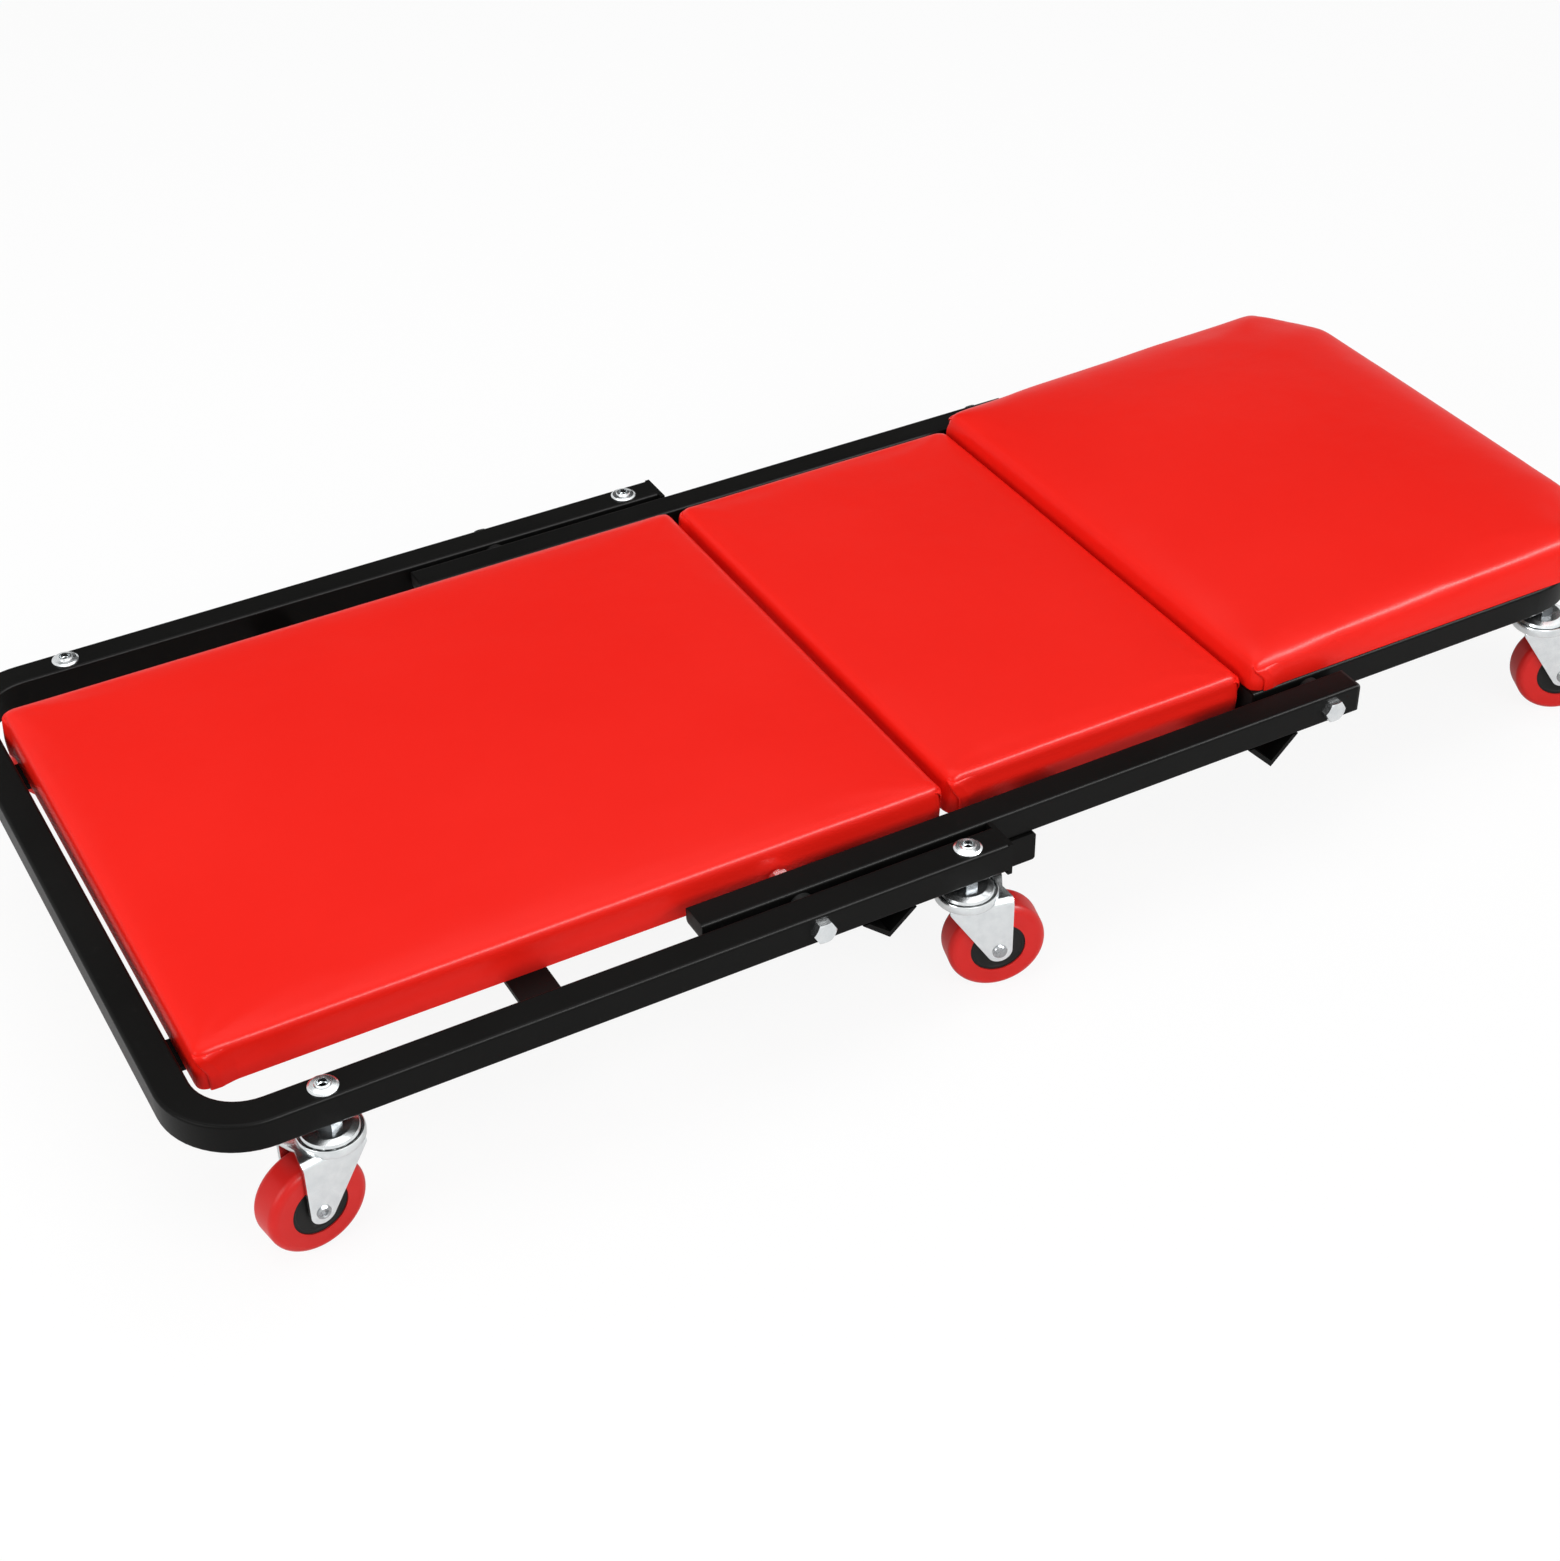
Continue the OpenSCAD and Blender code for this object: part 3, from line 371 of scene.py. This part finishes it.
# Boards: sanded plywood under each cushion, seen only from below, with its grain along
# the creeper.
def raw_plywood():
    p = Paint("raw_plywood")
    stretched = p.add("ShaderNodeMapping", Vector=p.place, Scale=(0.08, 1.0, 1.0))["Vector"]
    grain = p.noise(0.006, detail=5.0, rough=0.6, place=stretched)
    band = p.noise(0.03, detail=2.0, place=stretched)
    pale_wood, dark_wood, late_wood = (0.66, 0.47, 0.27), (0.42, 0.26, 0.13), (0.50, 0.31, 0.15)
    colour = p.mix(band * 0.4, p.mix(grain, dark_wood, pale_wood), late_wood)
    return p.finish(Base_Color=colour, Roughness=0.62 + grain * 0.2,
                    Normal=p.bump(grain, strength=0.3, depth=0.0004))


plywood = raw_plywood()
for name in ("foot_pad_board", "middle_pad_board", "head_pad_board"):
    wear(name, plywood)


# Pads: foam over a board, covered with red vinyl that is pulled tight over rounded edges.
# Each cover is filled from inside, held fast under the board's rim, and cut to the rim after.
SKIRT_FADE = (0.088, 0.100)    # from here down the vinyl is duller, away from the light
NET = 0.004                    # mesh of the cover's net
SKIRT = 0.008                  # what the cover runs on below the board while it is filled
POCKET_TOP = 0.0092            # top of the foam's pocket for the board, above its lower edge
STAPLED_BELOW = 0.0105         # what is held fast, above the foam's lower edge
AIR_PRESSURE = 4.0
FILL_FRAMES = 20
ROUNDED_FROM = 0.006           # what of thicker foam is rounded, above its lower edge
PRESSED_END = 0.02             # what gives way of a pad's end that meets another pad


def red_vinyl():
    p = Paint("red_vinyl")
    wrinkle = p.noise(0.055, rough=0.45)
    grain = p.add("ShaderNodeTexVoronoi", {"feature": "F1"}, Vector=p.place, Scale=900.0).level("Distance")
    cloud = p.noise(0.16, detail=2.0)
    red, paler_red = (0.78, 0.010, 0.005), (0.84, 0.015, 0.008)
    colour = p.mix(cloud, red, paler_red)
    soft = p.bump(wrinkle, strength=0.25, depth=0.0035)
    skin = p.add("ShaderNodeBump", Height=grain, Strength=0.1, Distance=0.0003, Normal=soft)["Normal"]
    dull = (1.0 - p.height().over(*SKIRT_FADE)) * 0.3
    return p.finish(Base_Color=colour, Roughness=0.26 + cloud * 0.08 + grain * 0.06 + dull,
                    Specular_IOR_Level=0.11, Normal=skin)


vinyl = red_vinyl()


def apply_modifier(piece, name, kind, **settings):
    made = piece.modifiers.new(name, kind)
    for key, value in settings.items():
        setattr(made, key, value)
    bpy.context.view_layer.objects.active = piece
    bpy.ops.object.modifier_apply(modifier=made.name)


def even_net(node, low):
    """The foam's outer skin as an even net, without the board's pocket and with a skirt below."""
    bpy.ops.object.select_all(action="DESELECT")
    cover = parts[node].copy()
    cover.data = parts[node].data.copy()
    cover.name = node.replace("_cushion", "_cover")
    cover.data.name = cover.name
    for key in list(cover.keys()):
        del cover[key]
    cover.parent = None
    bpy.context.scene.collection.objects.link(cover)
    cover.select_set(True)
    bpy.context.view_layer.objects.active = cover
    bpy.ops.object.mode_set(mode="EDIT")
    bpy.ops.mesh.select_all(action="SELECT")
    bpy.ops.mesh.remove_doubles(threshold=0.00001)
    bpy.ops.mesh.normals_make_consistent(inside=False)
    bpy.ops.object.mode_set(mode="OBJECT")
    for v in cover.data.vertices:
        at_rim = v.co.z < low.z + 0.001
        in_pocket = abs(v.co.z - low.z - POCKET_TOP) < 0.0001
        if at_rim or in_pocket:
            v.co.z = low.z - SKIRT
    foam = cover.copy()
    foam.data = cover.data.copy()
    bpy.context.scene.collection.objects.link(foam)
    apply_modifier(cover, "even_mesh", "REMESH", mode="VOXEL", voxel_size=NET)
    apply_modifier(cover, "onto_foam", "SHRINKWRAP", wrap_method="NEAREST_SURFACEPOINT", target=foam)
    bpy.data.objects.remove(foam)
    return cover


def fill_out(cover, low, reach):
    """Air fills the cover out by at most the reach, while its lower edge is held fast."""
    slack = [v.co.copy() for v in cover.data.vertices]
    stapled = cover.vertex_groups.new(name="stapled")
    held = [v.index for v in cover.data.vertices if v.co.z < low.z + STAPLED_BELOW]
    stapled.add(held, 1.0, "REPLACE")
    cloth = cover.modifiers.new("cloth", "CLOTH")
    cloth.settings.use_pressure = True
    cloth.settings.uniform_pressure_force = AIR_PRESSURE
    cloth.settings.vertex_group_mass = stapled.name
    cloth.settings.effector_weights.gravity = 0
    for k in range(1, FILL_FRAMES + 1):
        bpy.context.scene.frame_set(k)
    settled = cover.evaluated_get(bpy.context.evaluated_depsgraph_get())
    taut = [v.co.copy() for v in settled.data.vertices]
    cover.modifiers.remove(cloth)
    bpy.context.scene.frame_set(1)
    for v, before, after in zip(cover.data.vertices, slack, taut):
        step = after - before
        v.co = before + step * min(1.0, reach / max(step.length, 1e-9))


def round_upper_edge(cover, low, passes):
    """Thicker foam rounds the upper edge."""
    net = bmesh.new()
    net.from_mesh(cover.data)
    upper = [v for v in net.verts if v.co.z > low.z + ROUNDED_FROM]
    for k in range(passes):
        bmesh.ops.smooth_vert(net, verts=upper, factor=0.5,
                              use_axis_x=True, use_axis_y=True, use_axis_z=True)
    net.to_mesh(cover.data)
    net.free()


def press_ends(cover, low, high, foot_push, head_push):
    """The end faces that meet another pad press a little way towards it."""
    for v in cover.data.vertices:
        from_foot, from_head = v.co.x - low.x, high.x - v.co.x
        v.co.x += head_push * max(0.0, 1 - from_head / PRESSED_END)
        v.co.x -= foot_push * max(0.0, 1 - from_foot / PRESSED_END)


def cut_board_pocket(cover, node, low, high):
    """The cover ends level with the board's underside, and the board's block is cut out of it."""
    bpy.ops.object.mode_set(mode="EDIT")
    bpy.ops.mesh.select_all(action="SELECT")
    bpy.ops.mesh.bisect(plane_co=(0, 0, low.z), plane_no=(0, 0, 1), use_fill=True, clear_inner=True)
    bpy.ops.object.mode_set(mode="OBJECT")
    block = parts[node.replace("_cushion", "_board")].copy()
    block.data = block.data.copy()
    block.parent = None
    bpy.context.scene.collection.objects.link(block)
    bpy.ops.object.select_all(action="DESELECT")
    block.select_set(True)
    bpy.context.view_layer.objects.active = block
    bpy.ops.object.mode_set(mode="EDIT")
    bpy.ops.mesh.select_all(action="SELECT")
    bpy.ops.mesh.convex_hull()
    bpy.ops.object.mode_set(mode="OBJECT")
    # a hair wider and longer than the board, and deep enough to open the pocket downwards
    looser_x, looser_y, opening = 1.0008, 1.001, 0.004
    middle = Vector(((low.x + high.x) / 2, 0, low.z))
    for v in block.data.vertices:
        off = v.co - middle
        rise = off.z if off.z > opening else -opening
        v.co = middle + Vector((off.x * looser_x, off.y * looser_y, rise))
    apply_modifier(cover, "board_pocket", "BOOLEAN", operation="DIFFERENCE", solver="EXACT", object=block)
    bpy.data.objects.remove(block)


def padded_cover(node, body, reach, foot_push=0, head_push=0, rounding=0):
    """A pad's cover: an even net over the foam, filled out, pressed to its neighbours and cut
    open for the board."""
    low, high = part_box(node)
    cover = even_net(node, low)
    fill_out(cover, low, reach)
    if rounding:
        round_upper_edge(cover, low, rounding)
    press_ends(cover, low, high, foot_push, head_push)
    apply_modifier(cover, "finer", "SUBSURF", levels=1, render_levels=1)
    cut_board_pocket(cover, node, low, high)
    bpy.ops.object.select_all(action="DESELECT")
    cover.select_set(True)
    bpy.ops.object.shade_smooth_by_angle(angle=math.radians(50))
    cover.data.materials.clear()
    cover.data.materials.append(vinyl)
    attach(cover, body)
    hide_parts(node)
    return cover


foot_cover = padded_cover("foot_pad_cushion", "base_frame", reach=0.0008, head_push=0.0004)
middle_cover = padded_cover("middle_pad_cushion", "middle_frame", reach=0.0008,
                            foot_push=0.0004, head_push=0.0012)
head_cover = padded_cover("head_pad_cushion", "head_frame", reach=0.0014,
                          foot_push=0.0012, rounding=8)


# Corner folds: at each square corner the cover is folded over itself like an envelope. The
# upper layer comes along one side and ends in an upright edge short of the corner, and the
# edge arches over the corner at its top. The layer below runs round the corner.
FOLD_START = 0.030      # where the upper layer lifts off, from the corner
FOLD_LAP = 0.0075       # where its upright edge ends, short of the corner
FOLD_ARCH = 0.007       # how far the edge's top arches past the corner
ARCH_FROM = 0.4         # share of the edge's height from which it arches
ARCH_CURVE = 1.6
FOLD_UNDER = 0.0002     # how far the layer reaches below the foam
FOLD_OUTSIDE = 0.001    # how far outside the foam it starts before it is laid on
FOLD_RISE = 0.0020      # how far the edge stands off the foam
FOLD_SUNK = 0.0004      # how deep the layer's start lies in the foam
RISES_OVER = 0.7        # share of the layer's length over which it rises
TUCKED_FROM = 0.94      # share of its length from which the edge is tucked in
TUCKED_BY = 0.3
CLOSES_FROM = 0.8       # share of its height from which its top closes on the foam
FOLD_SKIN = 0.0009
FOLD_EDGE = 0.00028
FOLD_COLUMNS, FOLD_ROWS = 60, 24
EVEN_PASSES = 30


def past(value, mark):
    """How far the value is past the mark, as a share of the way from there to 1."""
    return max(0.0, value - mark) / (1 - mark)


def even_out(spots, wide, passes):
    """Evens out the foam's facets along each row of the layer, whose two ends stay."""
    for k in range(passes):
        spots = [
            spot if i % wide in (0, wide - 1)
            else spot * 0.5 + (spots[i - 1] + spots[i + 1]) * 0.25
            for i, spot in enumerate(spots)
        ]
    return spots


def corner_fold(cover, body, node, name, end_way, side_way, along_side, height):
    """The upper layer at one corner: a flat flap, laid on the cover, lifted off and thickened."""
    low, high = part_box(node)
    corner = Vector((low.x if end_way < 0 else high.x, low.y if side_way < 0 else high.y))
    inwards_x, inwards_y = Vector((-end_way, 0)), Vector((0, -side_way))
    seam_way, other_way = (inwards_x, inwards_y) if along_side else (inwards_y, inwards_x)
    bpy.ops.object.select_all(action="DESELECT")
    bpy.ops.mesh.primitive_grid_add(x_subdivisions=FOLD_COLUMNS, y_subdivisions=FOLD_ROWS, size=1)
    flap = bpy.context.object
    flap.name = flap.data.name = name
    wide = sum(1 for v in flap.data.vertices if abs(v.co.y - flap.data.vertices[0].co.y) < 1e-6)
    lifts = []
    for v in flap.data.vertices:
        along, up = v.co.x + 0.5, v.co.y + 0.5
        end = FOLD_LAP - (FOLD_LAP + FOLD_ARCH) * past(up, ARCH_FROM) ** ARCH_CURVE
        run = FOLD_START - along * (FOLD_START - end)
        flat = corner + (other_way * -run if run < 0 else seam_way * run)
        flat -= (seam_way + other_way) * FOLD_OUTSIDE
        v.co = (flat.x, flat.y, low.z - FOLD_UNDER + up * height)
        rise = FOLD_RISE * min(1.0, along / RISES_OVER) ** 2
        rise *= 1 - TUCKED_BY * past(along, TUCKED_FROM) ** 2
        rise *= math.sqrt(max(0.0, 1 - past(up, CLOSES_FROM) ** 2))
        lifts.append(rise - FOLD_SUNK)
    apply_modifier(flap, "against_foam", "SHRINKWRAP", target=cover, wrap_method="NEAREST_SURFACEPOINT")
    spots = even_out([v.co.copy() for v in flap.data.vertices], wide, EVEN_PASSES)
    # the layer lifts off the foam, outwards and on the upper edge upwards too
    middle = Vector(((low.x + high.x) / 2, (low.y + high.y) / 2, low.z))
    for i, (v, lift) in enumerate(zip(flap.data.vertices, lifts)):
        first = i - i % wide
        row = spots[min(i + 1, first + wide - 1)] - spots[max(i - 1, first)]
        out = row.cross(Vector((0, 0, 1))).normalized()
        if out.dot(spots[i] - middle) < 0:
            out = -out
        foam_way = cover.closest_point_on_mesh(spots[i])[2]
        out = (out + Vector((0, 0, max(0.0, foam_way.z)))).normalized()
        v.co = spots[i] + out * (lift + 0.0001)
    bpy.ops.object.mode_set(mode="EDIT")
    bpy.ops.mesh.select_all(action="SELECT")
    bpy.ops.mesh.normals_make_consistent(inside=False)
    bpy.ops.object.mode_set(mode="OBJECT")
    face = flap.data.polygons[len(flap.data.polygons) // 2]
    if face.normal.dot(face.center - middle) < 0:
        flap.data.flip_normals()
    apply_modifier(flap, "skin", "SOLIDIFY", thickness=FOLD_SKIN, offset=-1)
    apply_modifier(flap, "round_edge", "BEVEL", width=FOLD_EDGE, segments=2, limit_method="ANGLE",
                   angle_limit=math.radians(50))
    bpy.ops.object.shade_smooth_by_angle(angle=math.radians(60))
    flap.data.materials.append(vinyl)
    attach(flap, body)


# each corner's name, the end and side that it is on, and whether its fold lies along the side
CORNERS = (("near_foot", -1, -1, True), ("near_head", 1, -1, False),
           ("far_head", 1, 1, True), ("far_foot", -1, 1, False))
for pad, cover, body in (("foot", foot_cover, "base_frame"), ("middle", middle_cover, "middle_frame")):
    for corner_name, end_way, side_way, along_side in CORNERS:
        corner_fold(cover, body, pad + "_pad_cushion", pad + "_fold_" + corner_name,
                    end_way, side_way, along_side, height=0.0253)
for fold_name, side_way in (("head_fold_near", -1), ("head_fold_far", 1)):
    corner_fold(head_cover, "head_frame", "head_pad_cushion", fold_name,
                -1, side_way, True, height=0.0183)


# Casters: a zinc-plated fork, a riveted axle of plain drawn steel with a turned face on head
# and rolled end, a black moulded wheel centre and a smooth red polyurethane tyre.
CASTERS = ("foot_left", "foot_right", "mid_left", "mid_right", "head_left", "head_right")


def drawn_steel():
    p = Paint("drawn_axle_steel")
    drag = p.noise(0.0012)
    drag_line, steel = (0.24, 0.25, 0.26), (0.42, 0.43, 0.44)
    colour = p.mix(drag, drag_line, steel)
    return p.finish(Base_Color=colour, Metallic=1.0, Roughness=0.22 + drag * 0.14)


def red_urethane():
    p = Paint("red_polyurethane")
    cloud = p.noise(0.02)
    fine = p.noise(0.0015, detail=2.0)
    red, paler_red = (0.53, 0.010, 0.008), (0.61, 0.015, 0.012)
    colour = p.mix(cloud, red, paler_red)
    return p.finish(Base_Color=colour, Roughness=0.3 + cloud * 0.12,
                    Specular_IOR_Level=0.2, Normal=p.bump(fine, strength=0.12, depth=0.0002))


axle_steel = drawn_steel()
tyre_red = red_urethane()
for caster in CASTERS:
    wear(caster + "_axle", axle_steel)
    wear(caster + "_hub", moulded_plastic)
    wear(caster + "_tyre", tyre_red)


# Forks: one blank of 2.5 mm sheet, bent down over both sides of the wheel. The crown is
# dished up into a cup round the lower race, and each cheek tapers to a round end. Heights
# are from the tube's underside, and a fork's axle trails its swivel along X.
hinges = {joint["name"]: Vector(joint["pos_m"]) for joint in frame["joints"]}
trail = (hinges["foot_left_wheel_spin"] - hinges["foot_left_swivel_turn"]).xy.length
drop = tube_low - hinges["foot_left_wheel_spin"].z
FORK_SHEET = 0.0025
CROWN_LEVEL = -0.01415        # height of the crown, to the middle of its sheet
CHEEK_OFF = 0.01305           # from the wheel's middle to the middle of a cheek's sheet
FORK_BEND = 0.0034
CHEEK_BACK, CHEEK_FRONT = -0.0135, 0.0252    # edges of a cheek below its bend, from the swivel
ROUND_END = 0.0078            # radius of a cheek's end, round the axle
STEM_HOLE_R = 0.0043
SHEARED_EDGE = 0.0004
BLANK_COLUMNS = 10
BEND_STEPS, CHEEK_STEPS, END_STEPS = 6, 12, 16
END_TURN = 88                 # degrees round the end, just short of its tip
# radius and height of the cup: its flat underside, the rolled rim and the race inside
CUP_PROFILE = (
    (0.0041, -0.01545), (0.0186, -0.01545), (0.0192, -0.0146), (0.0193, -0.0124),
    (0.0190, -0.0104), (0.0185, -0.0097), (0.0179, -0.0096), (0.0175, -0.0100),
    (0.0172, -0.0112), (0.0165, -0.0127), (0.0041, -0.0129),
)


def fork_stations():
    """Distance off the middle, height, rear edge and front edge of the blank at each station
    from the middle of the crown, round the bend and down to the round end."""
    top, axle = CROWN_LEVEL - FORK_BEND, -drop
    bend_start = CHEEK_OFF - FORK_BEND
    # the crown narrows a little towards its middle
    stations = [(0.0, CROWN_LEVEL, CHEEK_BACK + 0.0035, CHEEK_FRONT - 0.0030),
                (0.0050, CROWN_LEVEL, CHEEK_BACK + 0.0022, CHEEK_FRONT - 0.0015),
                (bend_start, CROWN_LEVEL, CHEEK_BACK + 0.0006, CHEEK_FRONT - 0.0002)]
    for k in range(1, BEND_STEPS + 1):
        a = math.radians(90 * k / BEND_STEPS)
        stations.append((bend_start + FORK_BEND * math.sin(a), top + FORK_BEND * math.cos(a),
                         CHEEK_BACK, CHEEK_FRONT))
    # both edges of a cheek run onto its round end: the rear one slants, the front one is nearly upright
    back, rise = CHEEK_BACK - trail, top - axle
    meeting = math.atan2(rise, back) + math.acos(ROUND_END / math.hypot(back, rise))
    meeting_x = trail + ROUND_END * math.cos(meeting)
    meeting_z = axle + ROUND_END * math.sin(meeting)
    levels = [top - rise * k / CHEEK_STEPS for k in range(1, CHEEK_STEPS + 1)]
    for k in range(1, END_STEPS + 1):
        levels.append(axle - ROUND_END * math.sin(math.radians(END_TURN * k / END_STEPS)))
    for z in levels:
        half = math.sqrt(max(0.0, ROUND_END ** 2 - (z - axle) ** 2))
        rear, fore = trail - half, trail + half
        if z > meeting_z:
            rear = CHEEK_BACK + (meeting_x - CHEEK_BACK) * (top - z) / (top - meeting_z)
        if z > axle:
            fore = CHEEK_FRONT + (trail + ROUND_END - CHEEK_FRONT) * (top - z) / rise
        stations.append((CHEEK_OFF, z, rear, fore))
    return stations


def bent_blank():
    """Half of the sheet, drawn out from station to station and mirrored, then given its wall."""
    stations = fork_stations()
    y, z, rear, fore = stations[0]
    bpy.ops.object.select_all(action="DESELECT")
    bpy.ops.mesh.primitive_grid_add(x_subdivisions=BLANK_COLUMNS, y_subdivisions=1, size=1)
    blank = bpy.context.object
    bpy.ops.object.mode_set(mode="EDIT")
    edge = bmesh.from_edit_mesh(blank.data)
    bmesh.ops.delete(edge, geom=[v for v in edge.verts if v.co.y > 0], context="VERTS")
    for v in edge.verts:
        v.co = (rear + (v.co.x + 0.5) * (fore - rear), y, z)
        v.select = True
    edge.select_flush(True)
    bmesh.update_edit_mesh(blank.data)
    for (y, z, rear, fore), (next_y, next_z, next_rear, next_fore) in zip(stations, stations[1:]):
        next_x = (next_rear + next_fore) / 2
        shift = (next_x - (rear + fore) / 2, next_y - y, next_z - z)
        bpy.ops.mesh.extrude_edges_move(TRANSFORM_OT_translate={"value": shift})
        bpy.ops.transform.resize(value=((next_fore - next_rear) / (fore - rear), 1, 1),
                                 center_override=(next_x, next_y, next_z))
    bpy.ops.object.mode_set(mode="OBJECT")
    apply_modifier(blank, "other_cheek", "MIRROR", use_axis=(False, True, False), merge_threshold=0.00002)
    bpy.ops.object.mode_set(mode="EDIT")
    bpy.ops.mesh.select_all(action="SELECT")
    bpy.ops.mesh.remove_doubles(threshold=0.00001)
    bpy.ops.mesh.normals_make_consistent(inside=False)
    bpy.ops.object.mode_set(mode="OBJECT")
    apply_modifier(blank, "sheet", "SOLIDIFY", thickness=FORK_SHEET, offset=0, use_even_offset=True)
    return blank


def turned_cup():
    """The raised cup, turned from its profile round the swivel axis."""
    cup = bpy.data.objects.new("cup", bpy.data.meshes.new("cup"))
    bpy.context.scene.collection.objects.link(cup)
    turned = bmesh.new()
    ring = [turned.verts.new((radius, 0, height)) for radius, height in CUP_PROFILE]
    edges = [turned.edges.new((a, b)) for a, b in zip(ring, ring[1:] + ring[:1])]
    bmesh.ops.spin(turned, geom=ring + edges, cent=(0, 0, 0), axis=(0, 0, 1), angle=2 * math.pi,
                   steps=64, use_duplicate=False)
    bmesh.ops.remove_doubles(turned, verts=turned.verts, dist=0.00001)
    bmesh.ops.recalc_face_normals(turned, faces=turned.faces)
    turned.to_mesh(cup.data)
    turned.free()
    return cup


def pressed_fork():
    """The bent blank with the stem's hole and the cup in its crown. All six forks copy it."""
    blank = bent_blank()
    bpy.ops.mesh.primitive_cylinder_add(vertices=48, radius=STEM_HOLE_R, depth=0.02,
                                        location=(0, 0, CROWN_LEVEL))
    punch = bpy.context.object
    apply_modifier(blank, "stem_hole", "BOOLEAN", operation="DIFFERENCE", solver="EXACT", object=punch)
    bpy.data.objects.remove(punch)
    cup = turned_cup()
    bpy.ops.object.select_all(action="DESELECT")
    cup.select_set(True)
    blank.select_set(True)
    bpy.context.view_layer.objects.active = blank
    bpy.ops.object.join()
    apply_modifier(blank, "sheared_edge", "BEVEL", width=SHEARED_EDGE, segments=2, limit_method="ANGLE",
                   angle_limit=math.radians(50))
    bpy.ops.object.shade_smooth_by_angle(angle=math.radians(38))
    return blank


fork_pattern = pressed_fork()
for caster in CASTERS:
    swivel, wheel = hinges[caster + "_swivel_turn"], hinges[caster + "_wheel_spin"]
    turned_to = math.atan2(wheel.y - swivel.y, wheel.x - swivel.x)
    fork = fork_pattern.copy()
    fork.data = fork_pattern.data.copy()
    fork.name = fork.data.name = caster + "_pressed_fork"
    bpy.context.scene.collection.objects.link(fork)
    under_tube = Matrix.Translation((swivel.x, swivel.y, tube_low))
    fork.data.transform(under_tube @ Matrix.Rotation(turned_to, 4, "Z"))
    fork.data.materials.append(zinc)
    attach(fork, caster + "_swivel")
    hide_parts(caster + "_fork")
bpy.data.objects.remove(fork_pattern)
